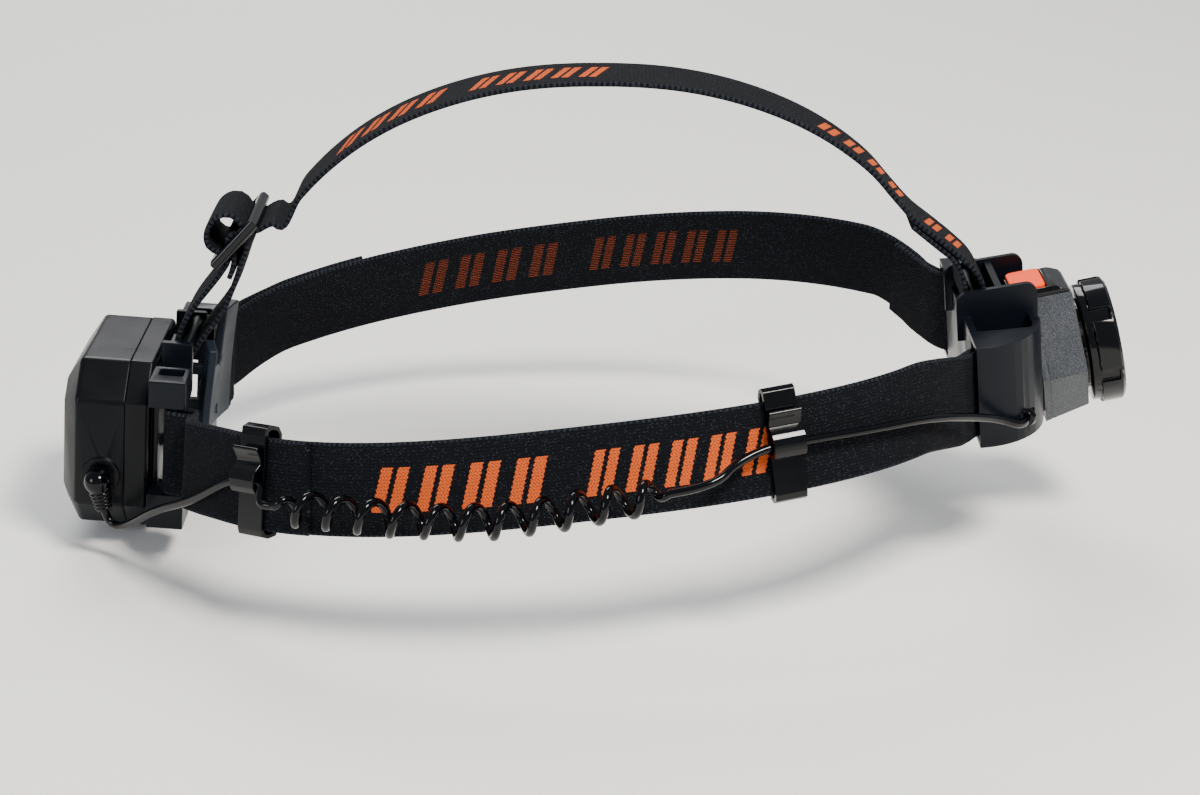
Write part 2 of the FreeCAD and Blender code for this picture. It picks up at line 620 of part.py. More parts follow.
def relief_line():
    """Knee centre, direction and length of the strain relief's tail, in the box's frame."""
    knee = Vector(GLAND_AT[0], -cell("box_width") / 2 - 5.2, GLAND_AT[1])
    return knee, unit(Vector(0.25, 0, -0.97)), 8.8


def make_strain_relief():
    """Ribbed elbow that turns the cable down out of the case's right side."""
    x, z = GLAND_AT
    side = -cell("box_width") / 2
    knee, down, length = relief_line()
    plug = rod(3.2, Vector(x, side + cell("box_wall") - 0.1, z), Vector(x, side - 0.9, z))
    barrel = rod(3.9, Vector(x, side - 0.9, z), knee)
    tail = Part.makeCone(3.5, 2.1, length, knee, down)
    shape = plug.fuse([barrel, Part.makeSphere(3.9, knee), tail])
    for i in range(5):
        drop = 3.3 + 1.15 * i
        shape = shape.fuse(Part.makeTorus(3.4 - 1.4 * drop / length, 0.4, knee + down * drop, down))
    keep(feature("strain_relief_shape", shape), "strain_relief", PACK)


# ---------------------------------------------------------------- rear bracket


def rear_bar():
    """Centre of the right strap bar of the rear bracket, in the box's frame."""
    return Vector(8.6, -cell("box_width") / 2 - 5.0, 0)


REAR_SLOT_MIDDLE = 4.6  # middle of the rear strap slots, in the box's frame
TOP_BAR_REAR = Vector(7.6, 0, 27.9)  # the top strap's rear bar, in the box's frame


def make_rear_bracket():
    """Bracket on the battery base: plate, two strap frames and the top strap's bar."""
    half_slot = cell("strap_width") / 2 + 0.7
    low, high = REAR_SLOT_MIDDLE - half_slot, REAR_SLOT_MIDDLE + half_slot
    bar = rear_bar()
    outer = bar.y - 2.2
    plate = box(0.0, 2.4, -26, 1, -20, 23)
    lower_arm = box(0.8, 11.4, outer, -24.0, low - 10.5, low)
    upper_arm = box(0.8, 11.4, outer, -24.0, high, high + 8.0)
    arms = lower_arm.fuse(upper_arm)
    arms = arms.cut([box(2.8, 9.6, outer + 6.2, -25.6, low - 12, low - 1.8), box(2.8, 9.6, outer + 6.2, -25.6, high + 1.8, high + 9)])
    upright = rod(cell("bar_radius"), Vector(bar.x, bar.y, low - 1), Vector(bar.x, bar.y, high + 1))
    back_web = box(0.8, 2.4, -27, -24.0, low - 1, high + 1)
    lug_in = cell("strap_width") / 2 + cell("lug_gap")
    lug = box(1.0, TOP_BAR_REAR.x + 2.6, -lug_in - cell("lug_wall"), -lug_in, 15.0, TOP_BAR_REAR.z + 2.6)
    cross_bar = rod(cell("bar_radius"), Vector(TOP_BAR_REAR.x, -lug_in - 0.8, TOP_BAR_REAR.z),
                    Vector(TOP_BAR_REAR.x, 1, TOP_BAR_REAR.z))
    shape = mirrored(plate.fuse([arms, upright, back_web, lug, cross_bar])).removeSplitter()
    holes = [rod(1.6, Vector(-1, y, z), Vector(3, y, z)) for y, z in bracket_screw_places()]
    keep(feature("rear_bracket_shape", shape.cut(holes)), "rear_bracket", PACK)
    screws = [rod(1.5, Vector(0.05, y, z), Vector(2.5, y, z)).fuse(rod(2.8, Vector(2.45, y, z), Vector(3.6, y, z)))
              .cut(box(3.1, 4, y - 1.9, y + 1.9, z - 0.3, z + 0.3)) for y, z in bracket_screw_places()]
    keep(feature("bracket_screws_shape", Part.makeCompound(screws)), "bracket_screws", PACK)


def bracket_screw_places():
    """Centres of the two screws that hold the rear bracket, as (y, z)."""
    return [(8.0, -14.0), (-8.0, -14.0)]


def make_cradle():
    """Curved plate that rests on the hat, on four posts of the rear bracket's plate."""
    thick, bend = cell("cradle_thick"), cell("cradle_bend")
    heights = [-4.0 + 36.0 * i / 10 for i in range(11)]
    inner = [(13.0 + (z + 3.0) ** 2 / 560.0, z) for z in heights]
    outer = [(x - thick, z) for x, z in reversed(inner)]
    centre = Vector(13.0 + bend, 0, 0)
    face = face_xz(inner + outer, 0)
    face.rotate(centre, UP, 17)
    plate = face.revolve(centre, UP, -34)
    posts = [box(2.4, 14.4, side * 15 - 2, side * 15 + 2, z - 1.5, z + 1.5) for side in (-1, 1) for z in (0.0, 12.0)]
    notch_half = cell("strap_width") / 2 + cell("cradle_gap")
    notch = box(0, 40, -notch_half, notch_half, 15.5, 40)
    shape = plate.fuse(posts).removeSplitter().cut(notch)
    keep(feature("cradle_shape", shape), "rear_cradle", PACK)


# ---------------------------------------------------------------- straps


def strap_height(x):
    """Height of the side strap's centre line: it rises to the front and dips to both brackets."""
    along = x / half_loop
    dip = 125.0 * max(along - 0.8, 0.0) ** 1.5 + 60.0 * max(-along - 0.8, 0.0) ** 1.5
    return 7.6 + 14.0 * along - 3.5 * along ** 2 - 3.0 * along ** 3 - dip


def loop_point(angle):
    """A point on the head strap's centre line, a superellipse in plan."""
    power = 2.0 / cell("loop_power")
    c, s = math.cos(angle), math.sin(angle)
    x = math.copysign(abs(c) ** power, c) * cell("loop_length") / 2
    y = math.copysign(abs(s) ** power, s) * cell("loop_width") / 2
    return Vector(x, y, strap_height(x))


def loop_frame(angle):
    """Point, direction to the rear, width direction and outward direction of the right strap."""
    point = loop_point(angle)
    along = unit(loop_point(angle - 0.01) - loop_point(angle + 0.01))
    out = unit(Vector(along.y, -along.x, 0))
    if out.y > 0:
        out = out * -1
    lean = math.radians(cell("strap_lean"))
    width = unit(UP * math.cos(lean) - out * math.sin(lean))
    normal = unit(along.cross(width))
    if normal.y > 0:
        normal = normal * -1
    return point, along, unit(along.cross(normal)) * (1 if along.cross(normal).z > 0 else -1), normal


def angle_at(x):
    """The right strap's angle where its centre line is at x."""
    power = cell("loop_power") / 2.0
    share = x / (cell("loop_length") / 2)
    return -math.acos(math.copysign(abs(share) ** power, share))


def beside_strap(x, across, out):
    """A point beside the right strap: up across its width and out from its centre line."""
    point, _, width, normal = loop_frame(angle_at(x))
    return point + width * across + normal * out


def side_stations():
    """The right head strap's centre line from its front tail to its rear bar: (point, width direction)."""
    front_up = BRACKET.Rotation.multVec(UP)
    rear_up = PACK.Rotation.multVec(UP)
    turn = cell("bar_radius") + cell("strap_gap") / 2 + cell("strap_thick") / 2
    slot_low, slot_high = strap_slot_heights()
    bar = front_bar()
    rear = rear_bar()

    def on_front(x, y):
        return BRACKET.multVec(Vector(x, y, (slot_low + slot_high) / 2)), front_up

    def on_rear(x, y):
        return PACK.multVec(Vector(x, y, REAR_SLOT_MIDDLE)), rear_up

    stations = []
    apart = cell("strap_thick") + 0.25
    for angle in (-33.0, -29.5, -26.0):
        point, _, width, normal = loop_frame(math.radians(angle))
        stations.append((point - normal * apart, unit(mix(front_up, width, (-26.0 - angle) / 14.0))))
    stations.append(on_front(-17.6, bar.y + turn - 1.9))
    for x, y in arc_points((bar.x, bar.y), turn, 110, -90, 10):
        stations.append(on_front(x, y))
    stations.append(on_front(-17.0, bar.y - turn - 0.1))
    count = 32
    for i in range(count + 1):
        angle = math.radians(-23.0 - (155.0 - 23.0) * i / count)
        point, _, width, _ = loop_frame(angle)
        ends = min(i, count - i) / 4.0
        near = front_up if i < count / 2 else rear_up
        stations.append((point, unit(mix(near, width, min(ends, 1.0)))))
    stations.append(on_rear(13.0, rear.y + turn - 1.6))
    for x, y in arc_points((rear.x, rear.y), turn, 70, 270, 10):
        stations.append(on_rear(x, y))
    stations.append(on_rear(12.4, rear.y - turn - 0.9))
    return stations


def rear_tail_stations():
    """The doubled end of the right head strap, outside the main run, as a continuation of it."""
    apart = cell("strap_thick") + cell("strap_gap")
    rear_up = PACK.Rotation.multVec(UP)
    stations = []
    for i in range(9):
        point, _, width, normal = loop_frame(math.radians(-151.0 + 29.0 * i / 8))
        offset = normal * (apart + 0.6 * (1 - min(i / 2.0, 1.0)))
        stations.append((point + offset, unit(mix(rear_up, width, min((i + 1.5) / 4.0, 1.0)))))
    return stations


def band(stations):
    """A strap solid: rectangular sections along the stations, joined by ruled strips."""
    half_width, half_thick = cell("strap_width") / 2, cell("strap_thick") / 2
    wires = []
    for i, (point, width) in enumerate(stations):
        before = stations[max(i - 1, 0)][0]
        after = stations[min(i + 1, len(stations) - 1)][0]
        along = unit(after - point) + unit(point - before) if 0 < i < len(stations) - 1 else after - before
        along = unit(along)
        normal = unit(along.cross(width))
        across = unit(normal.cross(along))
        corners = [point + across * a * half_width + normal * b * half_thick
                   for a, b in ((1, 1), (1, -1), (-1, -1), (-1, 1))]
        wires.append(Part.makePolygon(corners + corners[:1]))
    return Part.makeLoft(wires, True, True)


def make_head_straps():
    """Right and left head strap, each folded round a bar at both ends."""
    shape = band(side_stations() + rear_tail_stations())
    keep(feature("head_strap_right_shape", shape), "head_strap_right")
    keep(feature("head_strap_left_shape", shape.mirror(Vector(), Vector(0, 1, 0))), "head_strap_left")


def crown_point(x):
    """A point on the top strap's arch, as (x, z): a superellipse that runs straight to the lamp."""
    share = abs(x - 7.0) / (half_loop - 12.5)
    arch = cell("crown_rise") * max(1 - share ** 2.2, 0.0) ** (1 / 2.2)
    straight = 40.0 + (half_loop - 5.8 - x) * 0.82
    blend = min(max((x - 86.0) / 18.0, 0.0), 1.0)
    blend = blend * blend * (3 - 2 * blend)
    return x, arch * (1 - blend) + straight * blend


def slider_frame():
    """Frame of the slider buckle: its X runs up along the top strap, its Z points out."""
    return Placement(Vector(-half_loop + 20.5, 0, cell("crown_rise") - 46.6), Rotation(Vector(0, 1, 0), -47.0))


def to_xz(frame, x, z):
    """A point of a frame's XZ plane as world (x, z)."""
    point = frame.multVec(Vector(x, 0, z))
    return point.x, point.z


def fold(frame, centre, turn, start, end, count):
    """World (x, z) points of a strap's fold round a bar that lies along Y."""
    return [to_xz(frame, x, z) for x, z in arc_points((centre.x, centre.z), turn, start, end, count)]


SLIDER_BAR = 1.4  # radius of the slider buckle's middle bar

# the top strap's run through the slider buckle, in the buckle's frame: up the front slot, over, down the rear slot
THREADED = [(11.6, -4.7), (9.4, -3.4), (7.3, -2.8), (5.6, -1.7), (4.85, -0.1), (4.9, 1.8), (5.5, 3.9), (5.2, 6.0),
            (3.7, 7.8), (1.2, 8.8), (-1.8, 8.6), (-4.6, 7.2), (-6.3, 5.0), (-6.3, 2.8), (-5.4, 1.0), (-4.9, -0.4),
            (-5.6, -1.9), (-7.4, -2.8), (-9.6, -3.1)]


def top_strap_points():
    """The top strap's centre line: sewn front end, arch, slider, rear bar and back up to the slider's bar."""
    turn = cell("bar_radius") + cell("strap_gap") / 2 + cell("strap_thick") / 2
    apart = cell("strap_thick") + 0.25
    points = []
    for x in (99.0, 103.0, 107.0, 111.0):
        (x0, z0), (x1, z1) = crown_point(x - 0.5 - 118.5 + half_loop), crown_point(x + 0.5 - 118.5 + half_loop)
        along = unit(Vector(x1 - x0, 0, z1 - z0))
        points.append(((x0 + x1) / 2 + along.z * apart, (z0 + z1) / 2 - along.x * apart))
    points += fold(BRACKET, top_bar(), turn, 168, 380, 12)
    points += [to_xz(BRACKET, top_bar().x + 2.45, top_bar().z + 4.0), to_xz(BRACKET, top_bar().x + 0.6, top_bar().z + 7.9)]
    start, stop = half_loop - 6.0, -half_loop + 33.0
    points += [crown_point(start + (stop - start) * i / 30.0) for i in range(31)]
    slider = slider_frame()
    points += [to_xz(slider, x, z) for x, z in THREADED]
    points += fold(PACK, TOP_BAR_REAR, turn, 165, 345, 10)
    lift = SLIDER_BAR + cell("strap_gap") / 2 + cell("strap_thick") / 2
    points += [to_xz(slider, x, z) for x, z in [(-16.2, -10.4), (-9.0, -7.7), (-2.6, -5.0), (0.8, -3.7)]]
    points += [to_xz(slider, x, z) for x, z in arc_points((0, 0), lift, -30, 200, 10)]
    points += [to_xz(slider, x, z) for x, z in [(-3.6, -2.6), (-6.3, -4.5), (-9.6, -5.9)]]
    return points


def make_top_strap():
    """Top strap over the crown, from the lamp bracket to the rear bracket."""
    stations = [(Vector(x, 0, z), Vector(0, 1, 0)) for x, z in top_strap_points()]
    keep(feature("top_strap_shape", band(stations)), "top_strap")


def make_slider():
    """Three-bar slider buckle on the top strap."""
    half_x, half_z = cell("slider_length") / 2, cell("slider_thick") / 2
    half_y = cell("strap_width") / 2 + 3.2
    frame = box(-half_x, half_x, -half_y, half_y, -half_z, half_z)
    frame = frame.makeFillet(1.3, [e for e in frame.Edges if e.Length > 10])
    rail = 2.0
    opening = half_y - 2.6
    frame = frame.cut(box(-half_x + rail, half_x - rail, -opening, opening, -half_z - 1, half_z + 1))
    middle = rod(SLIDER_BAR, Vector(0, -opening - 1, 0), Vector(0, opening + 1, 0))
    keep(feature("slider_shape", frame.fuse(middle)), "slider_buckle", slider_frame())


# ---------------------------------------------------------------- clips, grommet and cord


def strip(points, thick, half):
    """A sheet of constant thickness along (x, z) points, extruded across Y both ways."""
    wire = Part.makePolygon([Vector(x, -half, z) for x, z in points])
    outline = wire.makeOffset2D(thick / 2)
    return Part.Face(outline).extrude(Vector(0, 2 * half, 0))


def clip_frame(x):
    """Frame of a cable clip: X out of the strap, Z across its width."""
    point, along, width, normal = loop_frame(angle_at(x))
    return Placement(point, Rotation(normal, width.cross(normal), width, "XZY"))


def make_clip(label, x, extra):
    """C-shaped clip over both edges of the strap, with a sprung S-shaped hook for the cable."""
    edge = cell("strap_width") / 2
    skin = cell("strap_thick") / 2 + 0.3 + cell("clip_thick") / 2
    outside = skin + extra
    plate = [(-skin, edge - 4.5), (-skin - 0.3, edge + 0.8)]
    plate += [(-0.9, edge + 2.5), (0.6 + extra / 2, edge + 3.0), (outside - 0.2, edge + 2.3), (outside, edge + 0.6)]
    plate += [(outside, -edge + 0.2), (outside - 0.4, -edge - 1.0), (0.2 + extra / 2, -edge - 1.5),
              (-skin + 0.2, -edge - 1.0), (-skin, -edge + 0.4), (-skin, -edge + 3.5)]
    hook = [(outside + 3.2, 9.8), (outside + 2.3, 8.6), (outside + 1.5, 7.0), (outside + 1.5, 5.8),
            (outside + 2.5, 4.7), (outside + 3.3, 3.9), (outside + 3.9, 2.9), (outside + 4.1, 1.4),
            (outside + 4.0, -0.4), (outside + 3.2, -1.6), (outside + 1.6, -2.1), (outside, -2.2)]
    half = cell("clip_width") / 2
    shape = strip(plate, cell("clip_thick"), half).fuse(strip(hook, cell("clip_thick"), half)).removeSplitter()
    keep(feature(label + "_shape", shape), label, clip_frame(x))


FRONT_CLIP_X, REAR_CLIP_X = 56.0, -84.5
CLIP_CHANNEL = (1.0, 2.0)  # the cable's middle in a clip's hook: across the strap, and out from the clip's plate


def tail_thickness():
    """How much further out a clip sits where the strap's tail is doubled."""
    return cell("strap_thick") + cell("strap_gap")


def in_clip(x, extra, along):
    """The cable's point in the clip at x, shifted along the strap (positive to the rear)."""
    skin = cell("strap_thick") / 2 + 0.3 + cell("clip_thick") / 2
    across, off = CLIP_CHANNEL
    point, direction, width, normal = loop_frame(angle_at(x))
    return point + width * across + normal * (skin + extra + off) + direction * along


def grommet_line():
    """Centre and outward direction of the cable's exit in the right wing, in the bracket's frame."""
    outline = wing_outline(0.0)
    (x0, y0), (x1, y1) = outline[6], outline[7]
    middle = Vector((x0 + x1) / 2, (y0 + y1) / 2, -5.5)
    return middle, unit(Vector(-0.29, -0.94, -0.1))


def grommet_solid():
    """The grommet's shank through the wing and its collar outside."""
    middle, out = grommet_line()
    shank = rod(1.9, middle - out * 3.6, middle + out * 0.6)
    return shank.fuse(Part.makeCone(2.9, 2.2, 1.6, middle + out * 0.4, out)).removeSplitter()


def make_grommet():
    """Rubber grommet where the cable leaves the bracket's wing."""
    keep(feature("grommet_shape", grommet_solid()), "cable_grommet", BRACKET)


def route_edges(points):
    """Straight runs and tangent arcs through the points: (edges, length, smallest radius)."""
    edges, length, radii = [], 0.0, []
    start = points[0]
    for i in range(1, len(points) - 1):
        corner = points[i]
        a, b = corner - points[i - 1], points[i + 1] - corner
        half_turn = a.getAngle(b) / 2
        reach = 0.45 * min(a.Length, b.Length)
        radii.append(reach / math.tan(half_turn))
        enter, leave = corner - unit(a) * reach, corner + unit(b) * reach
        sagitta = radii[-1] * (1 / math.cos(half_turn) - 1)
        middle = corner + unit(unit(b) - unit(a)) * sagitta
        edges.append(Part.makeLine(start, enter))
        edges.append(Part.Arc(enter, middle, leave).toShape())
        start = leave
    edges.append(Part.makeLine(start, points[-1]))
    return edges, sum(e.Length for e in edges), radii


def make_cord(label, points, diameter):
    """A round tube along straight runs and tangent arcs; prints its radii and compares its volume."""
    edges, length, radii = route_edges(points)
    first = unit(points[1] - points[0])
    profile = Part.Wire([Part.makeCircle(diameter / 2, points[0], first)])
    tube = Part.Wire(edges).makePipeShell([profile], True, False)
    want = math.pi * diameter ** 2 / 4 * length
    print("%s: length %.1f, radii %s, volume %.1f of %.1f" % (
        label, length, " ".join("%.1f" % r for r in radii), tube.Volume, want))
    if abs(tube.Volume - want) > 0.02 * want:
        raise RuntimeError(label + ": the tube's volume doesn't match its length")
    keep(feature(label + "_shape", tube), label)


def coil_points():
    """The curly section's middle line, from its front end to its rear end."""
    points = []
    for x, across, gap in [(24.5, -6.2, 3.9), (2.3, -7.6, 4.6), (-20.0, -9.0, 4.0), (-38.5, -7.4, 3.6),
                           (-56.0, -5.4, 3.2), (-75.5, -4.2, 3.4)]:
        points.append(beside_strap(x, across, cell("strap_thick") / 2 + cell("coil_diameter") / 2 + gap))
    return points


def make_cable():
    """The cable in three pieces: front lead, curly section and rear lead."""
    thick = cell("cord_diameter")
    coil = coil_points()
    middle, out = grommet_line()
    start = BRACKET.multVec(middle + out * 2.0)
    away = BRACKET.Rotation.multVec(out)
    front_in, front_out = in_clip(FRONT_CLIP_X, 0, 6.0), in_clip(FRONT_CLIP_X, 0, -6.0)
    front = [start, start + away * 5.0, beside_strap(111.0, -6.0, 8.0), beside_strap(96.0, -2.4, 4.4),
             beside_strap(79.0, -0.2, 4.0), front_out, front_in, beside_strap(41.5, -1.6, 6.0),
             beside_strap(37.0, -4.6, 9.3), coil[0] + unit(coil[0] - coil[1]) * 6.0, coil[0]]
    make_cord("cable_lead_front", front, thick)
    make_cord("cable_coil", coil, cell("coil_diameter"))
    knee, down, length = relief_line()
    tip = PACK.multVec(knee + down * length)
    down = PACK.Rotation.multVec(down)
    rear_out, rear_in = in_clip(REAR_CLIP_X, tail_thickness(), -5.6), in_clip(REAR_CLIP_X, tail_thickness(), 5.6)
    low = tip + down * 4.2
    rear = [tip, low, low + Vector(5.4, -3.6, -0.2), Vector(-half_loop - 0.5, -52.0, -21.8),
            Vector(-half_loop + 13.5, -66.5, -13.0), rear_in, rear_out, coil[-1] + unit(coil[-1] - coil[-2]) * 4.0, coil[-1]]
    make_cord("cable_lead_rear", rear, thick)


def main():
    make_lamp_body()
    make_rear_cover()
    make_cover_screws()
    make_top_cap()
    make_switch()
    make_light_engine()
    make_zoom()
    make_lamp_bracket()
    make_battery_case()
    make_battery_base()
    make_cells()
    make_charging()
    make_strain_relief()
    make_rear_bracket()
    make_cradle()
    make_head_straps()
    make_top_strap()
    make_slider()
    make_clip("cable_clip_front", FRONT_CLIP_X, 0.0)
    make_clip("cable_clip_rear", REAR_CLIP_X, tail_thickness())
    make_grommet()
    make_cable()
    doc.recompute()
    faults = []
    for item in doc.Objects:
        if "Invalid" in item.State or "Error" in item.State:
            faults.append("%s: %s" % (item.Name, item.State))
    for item in SUBPARTS:
        if item.Shape.isNull() or not item.Shape.isValid() or not item.Shape.Solids:
            faults.append("%s has no valid shape" % item.Label)
    if faults:
        raise RuntimeError("; ".join(faults))
    os.makedirs("parts", exist_ok=True)
    for item in SUBPARTS:
        item.Shape.exportStep(os.path.join("parts", item.Label + ".step"))
        print(item.Label, len(item.Shape.Solids), round(item.Shape.Volume, 1))


main()
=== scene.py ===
"""Looks of a miner's cap lamp: a zoom lamp on a tilting bracket, elastic straps, a curly cable and a battery box.

Everything is in metres in the CAD frame: +X forward, +Y to the wearer's left, +Z up. Classes hold their sizes in
millimetres, which the helper functions turn to metres when a mesh is made.
"""

import json
import logging
import math
from abc import ABC, abstractmethod
from dataclasses import dataclass, field
from functools import reduce
from typing import Callable, Iterable, Self, Sequence

import bmesh
import bpy
import numpy as np
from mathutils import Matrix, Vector

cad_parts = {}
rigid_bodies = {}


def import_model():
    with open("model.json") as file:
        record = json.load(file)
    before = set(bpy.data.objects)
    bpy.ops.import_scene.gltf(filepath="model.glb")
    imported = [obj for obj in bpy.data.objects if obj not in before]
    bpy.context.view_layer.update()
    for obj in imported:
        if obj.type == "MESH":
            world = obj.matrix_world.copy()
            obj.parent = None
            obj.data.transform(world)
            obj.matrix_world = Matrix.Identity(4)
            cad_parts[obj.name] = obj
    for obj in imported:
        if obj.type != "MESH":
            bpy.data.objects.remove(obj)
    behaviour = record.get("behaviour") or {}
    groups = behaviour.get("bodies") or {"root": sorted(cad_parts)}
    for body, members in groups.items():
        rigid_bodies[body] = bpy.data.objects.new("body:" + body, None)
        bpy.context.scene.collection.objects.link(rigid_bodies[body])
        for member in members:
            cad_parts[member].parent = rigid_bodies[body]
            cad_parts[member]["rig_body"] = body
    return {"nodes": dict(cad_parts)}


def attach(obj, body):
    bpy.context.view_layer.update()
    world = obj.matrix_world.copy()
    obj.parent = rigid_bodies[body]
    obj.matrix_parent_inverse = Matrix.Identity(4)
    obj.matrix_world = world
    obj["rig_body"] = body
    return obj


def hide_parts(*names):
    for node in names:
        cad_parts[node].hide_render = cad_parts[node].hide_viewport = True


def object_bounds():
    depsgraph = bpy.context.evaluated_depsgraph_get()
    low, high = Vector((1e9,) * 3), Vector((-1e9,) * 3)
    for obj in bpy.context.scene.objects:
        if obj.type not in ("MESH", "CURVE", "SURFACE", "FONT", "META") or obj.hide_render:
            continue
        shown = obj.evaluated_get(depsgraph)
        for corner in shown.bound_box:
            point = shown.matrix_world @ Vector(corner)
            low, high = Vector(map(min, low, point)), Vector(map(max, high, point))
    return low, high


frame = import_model()
CAD_BOX = [[float(value) for value in corner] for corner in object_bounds()]

MM = 0.001
HARNESS = "harness"  # the rigid body that straps and cable ride on
LOG = logging.getLogger("cap_lamp")
Array = np.ndarray


# ---------------------------------------------------------------- small helpers


def linear(code: str) -> tuple[float, float, float, float]:
    """Turns an sRGB hex value into a linear colour.

    Args:
        code: six hex digits after a #.

    Returns:
        Red, green, blue and an alpha of 1.
    """
    values = [int(code[i : i + 2], 16) / 255 for i in (1, 3, 5)]
    red, green, blue = (v / 12.92 if v <= 0.04045 else ((v + 0.055) / 1.055) ** 2.4 for v in values)
    return red, green, blue, 1.0


def unit(vectors: Array) -> Array:
    """Scales vectors, which lie along the last axis, to length 1."""
    return vectors / np.linalg.norm(vectors, axis=-1, keepdims=True)


def smoothstep(values: Array) -> Array:
    """Eases 0..1 with no slope at either end: 3t^2 - 2t^3, held outside."""
    held = np.clip(values, 0.0, 1.0)
    return held * held * (3 - 2 * held)


@dataclass(frozen=True)
class Place:
    """A sub-assembly's frame: an origin in millimetres and a turn about Y in degrees."""

    origin: tuple[float, float, float]
    turn: float

    def world(self, points: Array) -> Array:
        """Turns local points to the row frame: x' = x cos + z sin, z' = z cos - x sin, then moves them.

        Args:
            points: local points in millimetres, last axis 3.

        Returns:
            Points in the row frame, in millimetres.
        """
        return self.direction(points) + np.array(self.origin)

    def direction(self, vectors: Array) -> Array:
        """Turns local directions to the row frame, with no move.

        Args:
            vectors: local directions, last axis 3.

        Returns:
            Directions in the row frame.
        """
        x, y, z = np.moveaxis(np.asarray(vectors, float), -1, 0)
        c, s = math.cos(math.radians(self.turn)), math.sin(math.radians(self.turn))
        return np.stack([x * c + z * s, y, z * c - x * s], -1)


# the straps' loop round the hat, in plan, and the height of the crown strap above the frame's origin, in millimetres
LOOP_LENGTH, LOOP_WIDTH, CROWN_RISE = 237.0, 199.0, 92.0
HALF_LOOP = LOOP_LENGTH / 2
# the lamp bracket stands in front of the loop and the battery box's bracket behind it
BRACKET = Place((HALF_LOOP + 15.7, 0.0, 7.1), -5.0)
PACK = Place((-HALF_LOOP - 5.3, 0.0, -14.2), 4.5)


def smooth_path(points: Array, extra: Array, step: float) -> tuple[Array, Array]:
    """Draws a smooth line through points, with other values carried along it.

    Each span is a cubic whose end slopes are the chord-weighted mean of the slopes of the spans it joins.

    Args:
        points: the points in millimetres, (n, 3).
        extra: values at those points, (n, k), blended in the same way.
        step: the spacing wanted along the line, in millimetres.

    Returns:
        The points and the values along the line.
    """
    both = np.hstack([points, extra])
    chord = np.linalg.norm(np.diff(points, axis=0), axis=1)
    slope = np.diff(both, axis=0) / chord[:, None]
    weight = np.concatenate([[0.0], chord, [0.0]])
    padded = np.vstack([slope[:1], slope, slope[-1:]])
    tangent = (padded[1:] * weight[:-1, None] + padded[:-1] * weight[1:, None]) / (weight[:-1] + weight[1:])[:, None]
    rows = []
    for i, length in enumerate(chord):
        count = max(int(round(length / step)), 1)
        t = (np.arange(count) / count)[:, None]
        rows.append((2 * t**3 - 3 * t**2 + 1) * both[i] + (t**3 - 2 * t**2 + t) * length * tangent[i]
                    + (3 * t**2 - 2 * t**3) * both[i + 1] + (t**3 - t**2) * length * tangent[i + 1])
    rows.append(both[-1:])
    line = np.vstack(rows)
    return line[:, :3], line[:, 3:]


def arc_length(line: Array) -> Array:
    """Distance along a line of points, from its first point."""
    return np.concatenate([[0.0], np.cumsum(np.linalg.norm(np.diff(line, axis=0), axis=1))])


def arc_points(centre: Sequence[float], radius: float, start: float, end: float,
               count: int) -> list[tuple[float, float]]:
    """Points on a circle's arc in a plane, from one angle to another in degrees."""
    angles = np.radians(np.linspace(start, end, count))
    return list(zip(centre[0] + radius * np.cos(angles), centre[1] + radius * np.sin(angles)))


def finish_mesh(mesh: bpy.types.Mesh, smooth_angle: float) -> None:
    """Points a mesh's faces outwards and shades it smooth up to an angle.

    Args:
        mesh: the mesh, changed in place.
        smooth_angle: edges sharper than this, in degrees, stay sharp.
    """
    work = bmesh.new()
    work.from_mesh(mesh)
    bmesh.ops.recalc_face_normals(work, faces=work.faces)
    work.to_mesh(mesh)
    work.free()
    mesh.shade_smooth()
    mesh.set_sharp_from_angle(angle=math.radians(smooth_angle))


def linked(name: str, data: bpy.types.ID) -> bpy.types.Object:
    """Makes an object at the origin from mesh, curve, light or camera data, and puts it in the scene.

    Args:
        name: the object's name.
        data: what the object shows.

    Returns:
        The object.
    """
    item = bpy.data.objects.new(name, data)
    bpy.context.scene.collection.objects.link(item)
    return item


def skin(name: str, grid: Array, smooth_angle: float, values: dict[str, Array]) -> bpy.types.Object:
    """Makes a tube-like mesh from a grid of points: each row is one closed section, and both ends are capped.

    Args:
        name: the piece's name.
        grid: points in millimetres, (rows, columns, 3).
        smooth_angle: edges sharper than this, in degrees, stay sharp.
        values: named point attributes, each (rows, columns).

    Returns:
        The object, at the origin.
    """
    rows, columns = grid.shape[:2]
    near = np.arange(rows - 1)[:, None] * columns
    column = np.arange(columns)[None, :]
    beside = (column + 1) % columns
    quads = np.stack([near + column, near + beside, near + columns + beside, near + columns + column], -1)
    caps = [list(range(columns))[::-1], list(range((rows - 1) * columns, rows * columns))]
    mesh = bpy.data.meshes.new(name)
    mesh.from_pydata((grid.reshape(-1, 3) * MM).tolist(), [], quads.reshape(-1, 4).tolist() + caps)
    for label, numbers in values.items():
        attribute = mesh.attributes.new(label, "FLOAT", "POINT")
        attribute.data.foreach_set("value", numbers.astype(np.float32).ravel())
    finish_mesh(mesh, smooth_angle)
    return linked(name, mesh)


